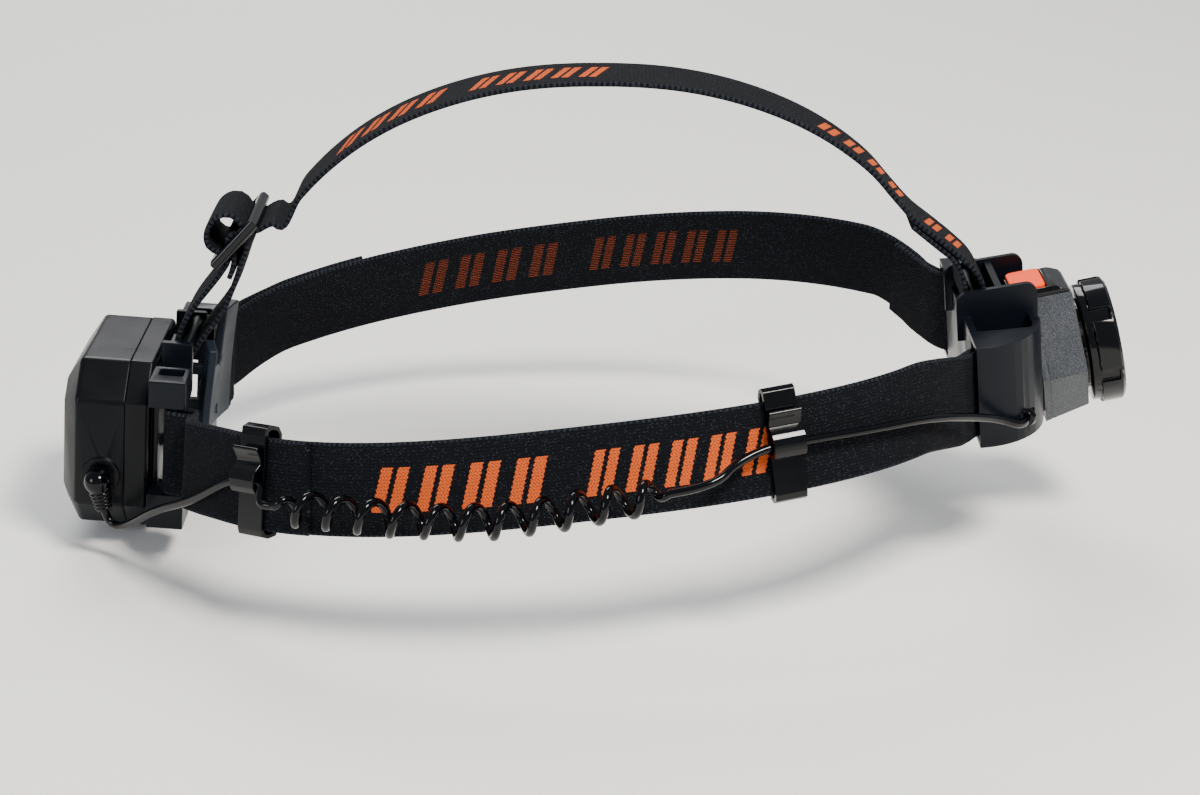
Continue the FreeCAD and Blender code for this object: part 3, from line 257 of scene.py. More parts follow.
class SoftEdge:
    """Copies a CAD node's mesh and rounds its edges, each as far as its neighbours leave room."""

    MERGE = 1e-6  # metres between corners that are one corner
    FLAT = 0.6  # degrees between faces that are one flat face
    COPLANAR = 1.0  # degrees between two halves of a flat face that was too looped to become one
    SHARP = 28.0  # degrees from which an edge is rounded
    SHARE = 0.42  # most of an edge's length, or of the width of a face beside it, that one rounding takes
    SEGMENTS = 2  # faces across a rounded edge

    @classmethod
    def is_looped(cls, face: bmesh.types.BMFace) -> bool:
        """Says whether a face runs round a hole: it touches itself or its coplanar other half.

        Args:
            face: the face.

        Returns:
            True if a rounding can't follow its outline.
        """
        return len(face.verts) > 4 and (
            len(set(face.verts)) < len(face.verts) or len(set(face.edges)) < len(face.edges)
            or any(edge.is_manifold and edge.calc_face_angle(1.0) < math.radians(cls.COPLANAR) for edge in face.edges))

    @classmethod
    def prepared(cls, node: str, radius: float) -> bpy.types.Mesh:
        """Copies a node's mesh, makes its flat faces whole and weighs its edges.

        An edge's weight is the share of the radius that it gets: less where it is short or where a face beside it is
        narrow, so that no two roundings meet.

        Args:
            node: the CAD node.
            radius: edge radius in millimetres, above 0 or else no edge is weighed.

        Returns:
            The new mesh.
        """
        mesh = frame["nodes"][node].data.copy()
        mesh.name = node + "_skin"
        work = bmesh.new()
        work.from_mesh(mesh)
        bmesh.ops.remove_doubles(work, verts=work.verts, dist=cls.MERGE)
        bmesh.ops.dissolve_limit(work, angle_limit=math.radians(cls.FLAT), verts=work.verts, edges=work.edges)
        bmesh.ops.triangulate(work, faces=[face for face in work.faces if cls.is_looped(face)])
        weight = work.edges.layers.float.new("bevel_weight_edge")
        for edge in work.edges:
            length = edge.calc_length()
            narrow = min((face.calc_area() / max(length, cls.MERGE) for face in edge.link_faces), default=0.0)
            if radius > 0 and edge.is_manifold and edge.calc_face_angle(0.0) > math.radians(cls.SHARP):
                edge[weight] = min(1.0, cls.SHARE * length / (radius * MM), cls.SHARE * narrow / (radius * MM))
        work.to_mesh(mesh)
        work.free()
        mesh.shade_smooth()
        mesh.set_sharp_from_angle(angle=math.radians(cls.SHARP))
        return mesh

    @classmethod
    def build(cls, node: str, radius: float, long_edges: bool) -> bpy.types.Object:
        """Makes the rounded copy that stands for a node and rides on its body.

        Args:
            node: the CAD node that the copy replaces.
            radius: edge radius in millimetres, or 0 for none.
            long_edges: rounds long edges in full and short ones less, where otherwise the shortest limits them all.

        Returns:
            The new piece.
        """
        piece = linked(node + "_skin", cls.prepared(node, radius))
        if radius > 0:
            rounding = piece.modifiers.new("rounded_edges", "BEVEL")
            rounding.width = radius * MM
            rounding.segments = cls.SEGMENTS
            rounding.limit_method = "WEIGHT" if long_edges else "ANGLE"
            rounding.angle_limit = math.radians(cls.SHARP)
            rounding.use_clamp_overlap = not long_edges
            rounding.harden_normals = True
            rounding.miter_outer = "MITER_ARC"
        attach(piece, frame["nodes"][node]["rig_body"])
        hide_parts(node)
        return piece


# ---------------------------------------------------------------- finishes


def add(tree: bpy.types.NodeTree, kind: str, links: dict[str | int, bpy.types.NodeSocket] | None = None,
        **settings: object) -> bpy.types.Node:
    """Adds a shader node with its settings and its incoming links.

    Args:
        tree: the node tree.
        kind: the node's type after "ShaderNode".
        links: input name or number to the socket that feeds it.
        **settings: node properties, or input defaults by name with _ for a space, or in_N for input number N.

    Returns:
        The node.
    """
    node = tree.nodes.new("ShaderNode" + kind)
    for key, value in settings.items():
        if key.startswith("in_"):
            node.inputs[int(key[3:])].default_value = value
        elif hasattr(node, key):
            setattr(node, key, value)
        else:
            node.inputs[key.replace("_", " ")].default_value = value
    for key, socket in (links or {}).items():
        tree.links.new(socket, node.inputs[key])
    return node


@dataclass(frozen=True)
class Finish(ABC):
    """A surface finish: the settings that every kind shares, and the slot in the record that it stands for."""

    name: str
    slot: str
    colour: str
    roughness: float = 0.5
    metallic: float = 0.0
    ior: float = 1.5
    coat: float = 0.0
    coat_roughness: float = 0.1
    shine: float = 0.5  # how strong the clear reflection is: 0.5 is plain plastic

    def material(self) -> bpy.types.Material:
        """Makes the material once, and afterwards gives the same one.

        Returns:
            The material, named for what the piece is made of.
        """
        known = bpy.data.materials.get(self.name)
        if known:
            return known
        made = bpy.data.materials.new(self.name)
        made.use_nodes = True
        made.diffuse_color = linear(self.colour)
        tree = made.node_tree
        tree.nodes.clear()
        shader = add(tree, "BsdfPrincipled", Base_Color=linear(self.colour), Roughness=self.roughness,
                     Metallic=self.metallic, IOR=self.ior, Coat_Weight=self.coat, Coat_Roughness=self.coat_roughness,
                     Specular_IOR_Level=self.shine)
        add(tree, "OutputMaterial", {"Surface": shader.outputs[0]})
        self.pattern(tree, shader)
        return made

    @abstractmethod
    def pattern(self, tree: bpy.types.NodeTree, shader: bpy.types.Node) -> None:
        """Adds what varies over the surface.

        Args:
            tree: the material's nodes.
            shader: its Principled BSDF.
        """

    def dress(self, piece: bpy.types.Object) -> None:
        """Puts the finish on a piece.

        Args:
            piece: a new mesh or curve, not a CAD node.
        """
        piece.data.materials.clear()
        piece.data.materials.append(self.material())

    def dress_node(self, node: str) -> None:
        """Puts the finish on a CAD node that stays as it is, and keeps the node's own slot.

        Args:
            node: the node's name.
        """
        for slot in frame["nodes"][node].material_slots:
            slot.material = self.material()


@dataclass(frozen=True)
class Moulded(Finish):
    """Injection-moulded plastic: fine spark-eroded grain, and gloss that varies a little from handling."""

    grain: float = 0.35  # millimetres between grains
    depth: float = 0.02  # millimetres from a grain's top to its foot
    fleck: str = ""  # colour of metallic flecks, if any
    fleck_size: float = 0.17  # millimetres
    fleck_share: float = 0.12  # part of the flecks that catch light
    marks: float = 70.0  # handling marks to the metre, so about 14 mm each

    def pattern(self, tree: bpy.types.NodeTree, shader: bpy.types.Node) -> None:
        """Adds grain, handling marks and, where the finish has them, flecks.

        Args:
            tree: the material's nodes.
            shader: its Principled BSDF.
        """
        where = add(tree, "TexCoord").outputs["Object"]
        handled = add(tree, "TexNoise", {"Vector": where}, Scale=self.marks, Detail=4.0)
        # each cell of the noise holds about two grains
        grains = add(tree, "TexNoise", {"Vector": where}, Scale=1.0 / (self.grain * MM) / 2, Detail=2.0)
        # from 18% glossier to 20% duller, over the middle of the noise's range, where nearly all of it lies
        gloss = add(tree, "MapRange", {"Value": handled.outputs[0]}, From_Min=0.3, From_Max=0.7,
                    To_Min=self.roughness * 0.82, To_Max=self.roughness * 1.2)
        tree.links.new(gloss.outputs[0], shader.inputs["Roughness"])
        bump = add(tree, "Bump", {"Height": grains.outputs[0]}, Strength=0.5, Distance=self.depth * MM)
        tree.links.new(bump.outputs[0], shader.inputs["Normal"])
        if self.fleck:
            cells = add(tree, "TexVoronoi", {"Vector": where}, Scale=1.0 / (self.fleck_size * MM))
            bright = add(tree, "SeparateColor", {0: cells.outputs["Color"]})
            share = add(tree, "MapRange", {"Value": bright.outputs[0]}, From_Min=1 - self.fleck_share, From_Max=1.0,
                        To_Min=0.0, To_Max=0.85)
            colour = add(tree, "Mix", {0: share.outputs[0]}, data_type="RGBA", in_6=linear(self.colour),
                         in_7=linear(self.fleck))
            tree.links.new(colour.outputs[2], shader.inputs["Base Color"])


@dataclass(frozen=True)
class Brushed(Finish):
    """Metal with fine scratches along X that stretch its highlights."""

    pitch: float = 0.25  # millimetres between scratches
    stretch: float = 20.0  # a scratch's length over the pitch
    depth: float = 0.004  # millimetres

    def pattern(self, tree: bpy.types.NodeTree, shader: bpy.types.Node) -> None:
        """Adds long thin scratches.

        Args:
            tree: the material's nodes.
            shader: its Principled BSDF.
        """
        where = add(tree, "TexCoord").outputs["Object"]
        drawn = add(tree, "Mapping", {"Vector": where}, Scale=(1.0 / self.stretch, 1.0, 1.0))
        scratch = add(tree, "TexNoise", {"Vector": drawn.outputs[0]}, Scale=1.0 / (self.pitch * MM), Detail=2.0)
        gloss = add(tree, "MapRange", {"Value": scratch.outputs[0]}, To_Min=self.roughness * 0.7,
                    To_Max=self.roughness * 1.4)
        tree.links.new(gloss.outputs[0], shader.inputs["Roughness"])
        bump = add(tree, "Bump", {"Height": scratch.outputs[0]}, Strength=0.3, Distance=self.depth * MM)
        tree.links.new(bump.outputs[0], shader.inputs["Normal"])


@dataclass(frozen=True)
class Acrylic(Finish):
    """Clear moulded acrylic, IOR 1.49: it bends what is behind it and carries sharp reflections."""

    clearness: float = 0.92
    haze: tuple[float, float] = (0.02, 0.09)  # roughness of clean and of handled spots
    spots: float = 140.0  # to the metre, so about 7 mm each

    def pattern(self, tree: bpy.types.NodeTree, shader: bpy.types.Node) -> None:
        """Makes the plastic clear, with a faint haze that varies.

        Args:
            tree: the material's nodes.
            shader: its Principled BSDF.
        """
        shader.inputs["Transmission Weight"].default_value = self.clearness
        where = add(tree, "TexCoord").outputs["Object"]
        handled = add(tree, "TexNoise", {"Vector": where}, Scale=self.spots, Detail=2.0)
        gloss = add(tree, "MapRange", {"Value": handled.outputs[0]}, To_Min=self.haze[0], To_Max=self.haze[1])
        tree.links.new(gloss.outputs[0], shader.inputs["Roughness"])


@dataclass(frozen=True)
class Circuit(Finish):
    """Solder mask over copper tracks: green, with slightly raised lighter lines about 0.5 mm wide."""

    track: str = "#2f7a45"
    density: float = 420.0  # cells between tracks to the metre, so 2.4 mm each
    depth: float = 0.03  # millimetres

    def pattern(self, tree: bpy.types.NodeTree, shader: bpy.types.Node) -> None:
        """Adds the tracks as the edges of square cells.

        Args:
            tree: the material's nodes.
            shader: its Principled BSDF.
        """
        where = add(tree, "TexCoord").outputs["Object"]
        tracks = add(tree, "TexVoronoi", {"Vector": where}, distance="MANHATTAN", feature="F2", Scale=self.density)
        line = add(tree, "MapRange", {"Value": tracks.outputs[0]}, From_Min=0.45, From_Max=0.55)
        colour = add(tree, "Mix", {0: line.outputs[0]}, data_type="RGBA", in_6=linear(self.colour),
                     in_7=linear(self.track))
        tree.links.new(colour.outputs[2], shader.inputs["Base Color"])
        bump = add(tree, "Bump", {"Height": line.outputs[0]}, Strength=0.6, Distance=self.depth * MM)
        tree.links.new(bump.outputs[0], shader.inputs["Normal"])


@dataclass(frozen=True)
class Signal:
    """A number that varies over a surface. Arithmetic on it adds shader nodes, so a pattern reads as formulas."""

    tree: bpy.types.NodeTree
    socket: bpy.types.NodeSocket

    def step(self, operation: str, other: Self | float | None = None) -> Self:
        """Takes one step of arithmetic.

        Args:
            operation: the operation's name.
            other: the second value, where the operation has one.

        Returns:
            The result.
        """
        links, settings = {0: self.socket}, {"operation": operation}
        if isinstance(other, Signal):
            links[1] = other.socket
        elif other is not None:
            settings["in_1"] = other
        return Signal(self.tree, add(self.tree, "Math", links, **settings).outputs[0])

    def __add__(self, other: Self | float) -> Self:
        """The sum."""
        return self.step("ADD", other)

    def __sub__(self, other: Self | float) -> Self:
        """The difference."""
        return self.step("SUBTRACT", other)

    def __mul__(self, other: Self | float) -> Self:
        """The product."""
        return self.step("MULTIPLY", other)

    def __truediv__(self, other: Self | float) -> Self:
        """The quotient."""
        return self.step("DIVIDE", other)

    def __gt__(self, other: Self | float) -> Self:
        """1 where this is the larger of the two, and 0 elsewhere."""
        return self.step("GREATER_THAN", other)

    def __lt__(self, other: Self | float) -> Self:
        """1 where this is the smaller of the two, and 0 elsewhere."""
        return self.step("LESS_THAN", other)

    def __abs__(self) -> Self:
        """The size without the sign."""
        return self.step("ABSOLUTE")

    def wave(self, pitch: float) -> Self:
        """A sine, -1 to 1, that repeats every pitch."""
        return (self * (2 * math.pi / pitch)).step("SINE")


@dataclass(frozen=True)
class BarGroup:
    """A run of woven slanted bars on a strap: where it starts along the strap, how many and how far apart, in mm."""

    start: float
    count: int
    pitch: float


@dataclass(frozen=True)
class Webbing(Finish):
    """Knitted elastic webbing: near-black yarn, pale rubber flecks between the stitches, woven orange bars.

    Lengths are in millimetres. The yarn's ribs and the bars' zig-zag thread are both a little coarser than the real
    weave so that they show.
    """

    bars: tuple[BarGroup, ...] = ()
    rib: float = 0.9
    stitch: float = 1.15
    yarn: tuple[str, str] = ("#030406", "#0d0f15")  # painted shade between the stitches and painted light on them
    fleck: str = "#3c424d"
    fleck_size: float = 0.46
    selvedge: str = "#343942"
    selvedge_from: float = 11.9  # from the strap's middle
    selvedge_stitch: float = 1.6
    thread: tuple[str, str] = ("#8f3a17", "#e0622b")  # the thread's shaded and lit sides
    thread_pitch: float = 0.85
    bar_height: float = 12.0
    bar_middles: tuple[float, float] = (0.24, 0.62)  # each pitch holds two bars, as shares of it
    bar_half: float = 0.13  # half a bar's width, as a share of the pitch
    slant: float = 0.32  # along over across
    zigzag: float = 1.3
    dash: float = 0.65  # pitch of the thread's floats on the inner face

    def pattern(self, tree: bpy.types.NodeTree, shader: bpy.types.Node) -> None:
        """Adds ribs, flecks, the selvedge and the bars, from the piece's attributes.

        Args:
            tree: the material's nodes.
            shader: its Principled BSDF.
        """
        along, across, outside = (Signal(tree, add(tree, "Attribute", attribute_name=name).outputs["Fac"])
                                  for name in ("along", "across", "outside"))
        # ribs along the strap, and stitches across them that lean with each rib
        rib = across.wave(self.rib)
        knit = rib * 0.5 + (along + rib * 0.35).wave(self.stitch) * 0.5
        # the thread's turns: a triangle wave across the strap, 0 to 0.5
        saw = abs((across * (1 / self.zigzag)).step("FRACT") - 0.5)
        mask = self.bar_mask(along, across, outside, saw)
        twist = (along * (1 / self.thread_pitch) + saw * 1.6).step("FRACT")
        shaded, lit = (linear(code) for code in self.thread)
        thread = add(tree, "Mix", {0: twist.socket}, data_type="RGBA", in_6=shaded, in_7=lit).outputs[2]
        ground = self.ground(along, across, knit)
        surface = add(tree, "Mix", {0: mask.socket, 6: ground, 7: thread}, data_type="RGBA").outputs[2]
        tree.links.new(surface, shader.inputs["Base Color"])
        # the bars stand a little higher than the knit
        bump = add(tree, "Bump", {"Height": (knit + mask * 0.8).socket}, Strength=0.8, Distance=0.12 * MM)
        tree.links.new(bump.outputs[0], shader.inputs["Normal"])

    def ground(self, along: Signal, across: Signal, knit: Signal) -> bpy.types.NodeSocket:
        """Colours the webbing without its bars.

        Args:
            along: distance along the strap.
            across: distance from the strap's middle.
            knit: height of the knit, -1 to 1.

        Returns:
            The colour.
        """
        tree = knit.tree
        low, high = (linear(code) for code in self.yarn)
        # the knit's height picks the yarn's colour: painted shade in the hollows between the stitches, painted light
        # on their tops
        knit_shading = add(tree, "MapRange", {"Value": knit.socket}, From_Min=-1.0).outputs[0]
        yarn = add(tree, "Mix", {0: knit_shading}, data_type="RGBA", in_6=low, in_7=high).outputs[2]
        # round flecks in 30% of the cells, faint because the yarn half covers them
        flat = add(tree, "CombineXYZ", {0: along.socket, 1: across.socket}).outputs[0]
        cells = add(tree, "TexVoronoi", {"Vector": flat}, Scale=1 / self.fleck_size)
        chance = Signal(tree, add(tree, "SeparateColor", {0: cells.outputs["Color"]}).outputs[0])
        fleck = (chance > 0.70) * (Signal(tree, cells.outputs["Distance"]) < 0.30) * 0.6
        yarn = add(tree, "Mix", {0: fleck.socket, 6: yarn}, data_type="RGBA", in_7=linear(self.fleck)).outputs[2]
        # a paler stitched line along each edge
        line = (abs(across) > self.selvedge_from) * (along.wave(self.selvedge_stitch) > 0.1) * 0.35
        return add(tree, "Mix", {0: line.socket, 6: yarn}, data_type="RGBA", in_7=linear(self.selvedge)).outputs[2]

    def bar_mask(self, along: Signal, across: Signal, outside: Signal, saw: Signal) -> Signal:
        """Says where the bars' thread shows.

        Args:
            along: distance along the strap.
            across: distance from the strap's middle.
            outside: 1 on the strap's outer face and 0 on its inner one.
            saw: the triangle wave that makes the thread's zig-zag edge.

        Returns:
            1 on a bar, 0 beside it.
        """
        ragged = along - across * self.slant + saw * 0.7
        runs = []
        for group in self.bars:
            local = (ragged - group.start) / group.pitch
            wave = local.step("FRACT")
            first, second = (abs(wave - middle) < self.bar_half for middle in self.bar_middles)
            runs.append(first.step("MAXIMUM", second) * ((local > 0.0) * (local < float(group.count))))
        woven = reduce(lambda one, other: one.step("MAXIMUM", other), runs) * (abs(across) < self.bar_height / 2)
        # on the inner face the thread floats under the yarn and shows as short faint dashes
        dashes = (across.wave(self.dash) > 0.55) * 0.45
        return woven * (outside > 0.5).step("MAXIMUM", dashes)


# ABS from a spark-eroded mould, with mica flecks: a soft grey metallic look
GRAPHITE = Moulded("graphite_abs_with_mica", "graphite", "#303338", roughness=0.38, ior=1.54, shine=0.3, grain=0.4,
                   fleck="#63676e", fleck_share=0.4)
# ABS from a polished mould: deep black with clear reflections
GLOSS_BLACK = Moulded("polished_black_abs", "gloss_black", "#030407", roughness=0.13, ior=1.54, shine=0.24, grain=1.2,
                      depth=0.006)
# ABS from a fine satin mould: blue-black with broad highlights
BRACKET_BLACK = Moulded("satin_blue_black_abs", "bracket_black", "#0b0f16", roughness=0.32, ior=1.54, shine=0.13,
                        grain=0.5, depth=0.012)
# the same satin in plain black: the box's faces shade softly from side to side
CASE_BLACK = Moulded("satin_black_abs", "case_black", "#07090d", roughness=0.30, ior=1.54, shine=0.13, grain=0.5,
                     depth=0.014)
# slate-grey ABS, duller than the box, so the plate under it stands apart
CRADLE_GREY = Moulded("satin_slate_grey_abs", "cradle_grey", "#1a2029", roughness=0.42, shine=0.16, grain=0.5,
                      depth=0.015)
# soft-touch elastomer over the button: a dull, even orange with no clear highlight
ORANGE = Moulded("soft_touch_orange_tpe", "orange_button", "#ff4d05", roughness=0.5, shine=0.2, grain=0.3, depth=0.012)
# unpolished nylon: dark grey, with highlights so broad that they hardly show
SWITCH_BLACK = Moulded("matt_black_nylon", "switch_black", "#101113", roughness=0.55)
# extruded PVC jacket: smooth and shiny, with slow waves from the die
PVC = Moulded("glossy_black_pvc", "cable_rubber", "#020306", roughness=0.10, ior=1.42, shine=0.3, grain=1.6)
# moulded nitrile rubber: flat black, the dullest part of the lamp
SEAL = Moulded("black_nitrile_rubber", "seal_rubber", "#0e0e0f", roughness=0.7)
# ground steel: bright, with long sharp highlights
PIN_STEEL = Brushed("bright_steel", "pin_steel", "#b9b9ba", roughness=0.28, metallic=1.0)
# steel blackened in hot salts: a dark metal that is bright only where light strikes it
SCREW_STEEL = Brushed("black_oxide_steel", "screw_steel", "#4a4a4c", roughness=0.4, metallic=1.0)
# nickel on spring steel: a clean, faintly warm mirror with drawing lines
CONTACT = Brushed("nickel_plated_spring_steel", "contact_nickel", "#c8c6bd", roughness=0.2, metallic=1.0)
# aluminium off a lathe: pale, with the tool's fine lines
ALUMINIUM = Brushed("turned_aluminium", "heat_sink", "#d0d1d4", roughness=0.3, metallic=1.0)
# white printed solder mask: bright and even, with a low gloss
LED_BOARD = Moulded("white_solder_mask", "led_board", "#e8e8e4", roughness=0.4)
# silicone filled with phosphor: a strong yellow under a clear skin
PHOSPHOR = Moulded("yellow_phosphor", "led_yellow", "#f2cf3a", roughness=0.25, coat=0.6)
# shrunk PVC film: blue and shiny, tight round the cell
CELL_WRAP = Moulded("blue_shrink_wrap", "cell_wrap", "#27599e", roughness=0.3, coat=0.3)
# green solder mask under a clear varnish, with the tracks showing as lighter lines
BOARD = Circuit("green_solder_mask", "circuit_board", "#0e4a24", roughness=0.35, coat=0.3)
# moulded acrylic: clear, with a hard highlight and the board behind it bent
LENS = Acrylic("clear_acrylic", "lens", "#f4f8fb", roughness=0.04, ior=1.49)

# elastic knitted over rubber: a dull black ground that hardly shines, with orange bars that stand out from it
SIDE_WEBBING = Webbing("elastic_webbing_side", "strap_webbing", "#08090d", roughness=0.9, shine=0.12,
                       bars=(BarGroup(-53.0, 4, 12.4), BarGroup(5.0, 5, 10.3)))
CROWN_WEBBING = Webbing("elastic_webbing_crown", "strap_webbing", "#08090d", roughness=0.9, shine=0.12,
                        bars=(BarGroup(-79.0, 4, 8.9), BarGroup(-36.0, 5, 7.9), BarGroup(66.0, 4, 8.9),
                              BarGroup(109.0, 2, 7.9)))


# ---------------------------------------------------------------- straps


@dataclass
class Strap:
    """Elastic webbing: a band of rounded section carried along a line, in millimetres."""

    width: float = 25.4
    thick: float = 1.5
    bar: float = 1.8  # radius of the bars that it is folded round
    gap: float = 0.4  # clearance to what it passes
    air: float = 0.25  # between two layers that lie on each other
    step: float = 1.6  # between sections along the band
    ripple: float = 0.05  # height of the faces' unevenness
    smooth_angle: float = 75.0  # degrees, above the angle between the facets of a round edge

    @property
    def fold(self) -> float:
        """Radius of the centre line round a bar."""
        return self.bar + self.gap / 2 + self.thick / 2

    @property
    def layer(self) -> float:
        """Distance between the middles of two layers that lie on each other."""
        return self.thick + self.air

    def section(self) -> tuple[Array, Array]:
        """The section: flat faces and round edges whose radius is half the thickness.

        Returns:
            The distances across the width and out from the middle, one for each point round the section.
        """
        half, edge = self.width / 2 - self.thick / 2, self.thick / 2
        flat = np.linspace(-half, half, 11)
        face = np.full(len(flat), edge)
        bend = np.radians(np.linspace(90, -90, 7))[1:-1]
        across = np.concatenate([flat, half + edge * np.cos(bend), flat[::-1], -half - edge * np.cos(bend)])
        out = np.concatenate([face, edge * np.sin(bend), -face, -edge * np.sin(bend)])
        return across, out

    def band(self, name: str, points: Array, widths: Array, middle: Callable[[Array], int],
             outward: float) -> bpy.types.Object:
        """Carries the section along a smooth line.

        Args:
            name: the piece's name.
            points: the centre line's points, (n, 3).
            widths: the width's direction at each, (n, 3).
            middle: picks the row where the pattern's zero lies, from the smoothed line.
            outward: 1 or -1, the side of the section that faces away from the head.

        Returns:
            The mesh. Its along attribute counts millimetres forwards, its across attribute counts them from the
            middle, and its outside attribute is 1 on the outer face and 0 on the inner one.
        """
        line, across_way = smooth_path(points, widths, self.step)
        along_way = unit(np.gradient(line, axis=0))
        normal = unit(np.cross(along_way, across_way))
        across_way = unit(np.cross(normal, along_way))
        across, out = self.section()
        # the webbing's faces aren't quite flat: they ripple in waves of 46 mm along and 31 mm across
        length = arc_length(line)
        ripple = self.ripple * np.sin(length / 7.3)[:, None] * np.cos(across / 5.0)[None, :]
        grid = (line[:, None, :] + across_way[:, None, :] * across[None, :, None]
                + normal[:, None, :] * (out[None, :] + ripple)[..., None])
        zero = length[middle(line)]
        rows, columns = grid.shape[:2]
        side = np.clip(0.5 + outward * out / self.thick, 0, 1)
        values = {"along": np.repeat((zero - length)[:, None], columns, 1),
                  "across": np.repeat(across[None, :], rows, 0), "outside": np.repeat(side[None, :], rows, 0)}
        return skin(name, grid, self.smooth_angle, values)

    def place(self, piece: bpy.types.Object, finish: Finish, node: str, length: float) -> None:
        """Dresses a finished band, says what it rides on and how much webbing it was cut from, and hides the CAD node
        that it stands for.

        Args:
            piece: the band.
            finish: its webbing.
            node: the CAD node that it replaces.
            length: its flat length in millimetres.
        """
        finish.dress(piece)
        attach(piece, HARNESS)
        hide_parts(node)
        LOG.info("%s, %.0f mm of webbing", piece.name, length)


@dataclass
class Headband(Strap):
    """Right and left head strap between the lamp bracket and the battery box.

    Angles are degrees round the loop: 0 in front, -90 on the right and -180 behind.
    """

    power: float = 2.4  # of the superellipse that the loop is in plan
    lean: float = 13.0  # degrees that the webbing's upper edge leans in, as on a hat's side
    front_bar: tuple[float, float] = (-13.5, -34.9)
    rear_bar: tuple[float, float] = (8.6, -35.0)
    front_slot: float = 3.2  # height of the bars' slots in their brackets
    rear_slot: float = 4.6
    front_tail: tuple[float, ...] = (-33.0, -29.5, -26.0)  # angles of the sewn end's stations
    run: tuple[float, float, int] = (-23.0, -155.0, 32)  # first angle, last angle and spans of the long run
    rear_tail: tuple[float, float, int] = (-151.0, -122.0, 8)

    def height(self, x: Array) -> Array:
        """The centre line's height: a cubic along the head, less a dip to each bracket.

        The dip grows as the power 1.5 of the distance past 0.8 of the half length.

        Args:
            x: distance forward of the middle.

        Returns:
            The height above the frame's origin.
        """
        along = x / HALF_LOOP
        dip = 125 * np.maximum(along - 0.8, 0) ** 1.5 + 60 * np.maximum(-along - 0.8, 0) ** 1.5
        return 7.6 + 14 * along - 3.5 * along**2 - 3 * along**3 - dip

    def loop(self, degrees: Array) -> Array:
        """Points of the loop, a superellipse in plan: |x / a|^power + |y / b|^power = 1.

        Args:
            degrees: angles round the loop.

        Returns:
            The points, last axis 3.
        """
        angle = np.radians(np.asarray(degrees, float))
        c, s = np.cos(angle), np.sin(angle)
        x = np.copysign(np.abs(c) ** (2 / self.power), c) * HALF_LOOP
        y = np.copysign(np.abs(s) ** (2 / self.power), s) * LOOP_WIDTH / 2
        return np.stack([x, y, self.height(x)], -1)

    def loop_frame(self, degrees: float) -> tuple[Array, Array, Array, Array]:
        """The right strap's own directions at an angle.

        Args:
            degrees: the angle round the loop.

        Returns:
            The point, the direction to the rear, the width's direction and the outward direction.
        """
        half_step = 0.57
        along = unit(self.loop(degrees - half_step) - self.loop(degrees + half_step))
        out = unit(np.array([along[1], -along[0], 0.0]))
        out = -out if out[1] > 0 else out
        lean = math.radians(self.lean)
        width = unit(np.array([0, 0, 1.0]) * math.cos(lean) - out * math.sin(lean))
        normal = unit(np.cross(along, width))
        normal = -normal if normal[1] > 0 else normal
        across = np.cross(along, normal)
        return self.loop(degrees), along, unit(across if across[2] > 0 else -across), normal

    def beside(self, x: float, across: float, out: float, along: float = 0.0) -> Array:
        """A point beside the right strap.

        Args:
            x: distance forward of the middle.
            across: distance up the strap's width.
            out: distance out from its centre line.
            along: distance to the rear.

        Returns:
            The point.
        """
        share = x / HALF_LOOP
        degrees = -math.degrees(math.acos(math.copysign(abs(share) ** (self.power / 2), share)))
        point, way, width, normal = self.loop_frame(degrees)
        return point + width * across + normal * out + way * along

    def line(self) -> tuple[Array, Array]:
        """The right strap's centre line, from its front tail to its rear tail.

        Its width is upright in each bracket and eases to the hat's lean a few stations away.

        Returns:
            The points and the width's direction at each.
        """
        front_up, rear_up = BRACKET.direction([0, 0, 1.0]), PACK.direction([0, 0, 1.0])
        rows: list[tuple[Array, Array]] = []

        def on(place: Place, x: float, y: float, z: float, up: Array) -> None:
            """Adds a station given in a bracket's frame."""
            rows.append((place.world([x, y, z]), up))

        # the front tail lies inside the strap
        for degrees in self.front_tail:
            point, _, width, normal = self.loop_frame(degrees)
            share = (self.front_tail[-1] - degrees) / 14
            rows.append((point - normal * self.layer, unit(front_up * (1 - share) + width * share)))
        # round the front bar, with a station before it and one after it to draw the two layers together
        bx, by = self.front_bar
        on(BRACKET, bx - 4.1, by + self.fold - 1.9, self.front_slot, front_up)
        for x, y in arc_points(self.front_bar, self.fold, 110, -90, 10):
            on(BRACKET, x, y, self.front_slot, front_up)
        on(BRACKET, bx - 3.5, by - self.fold - 0.1, self.front_slot, front_up)
        # the long run
        first, last, spans = self.run
        for i, degrees in enumerate(np.linspace(first, last, spans + 1)):
            point, _, width, _ = self.loop_frame(degrees)
            share = min(min(i, spans - i) / 4, 1.0)
            near = front_up if i < spans / 2 else rear_up
            rows.append((point, unit(near * (1 - share) + width * share)))
        # round the rear bar
        rx, ry = self.rear_bar
        on(PACK, rx + 4.4, ry + self.fold - 1.6, self.rear_slot, rear_up)
        for x, y in arc_points(self.rear_bar, self.fold, 70, 270, 10):
            on(PACK, x, y, self.rear_slot, rear_up)
        on(PACK, rx + 3.8, ry - self.fold - 0.9, self.rear_slot, rear_up)
        # the rear tail lies outside the strap, and comes close to it over its first two stations
        first, last, spans = self.rear_tail
        for i, degrees in enumerate(np.linspace(first, last, spans + 1)):
            point, _, width, normal = self.loop_frame(degrees)
            offset = self.thick + self.gap + 0.6 * (1 - min(i / 2, 1.0))
            share = min((i + 1.5) / 4, 1.0)
            rows.append((point + normal * offset, unit(rear_up * (1 - share) + width * share)))
        return np.array([r[0] for r in rows]), np.array([r[1] for r in rows])

    def build(self) -> None:
        """Makes both straps; the left one is the right one mirrored in the middle plane."""
        points, widths = self.line()

        def middle(line: Array) -> int:
            """The row where the long run passes the middle of the loop."""
            return int(np.argmin(np.abs(line[:, 0]) + (np.abs(line[:, 1]) < 80) * 1e3))

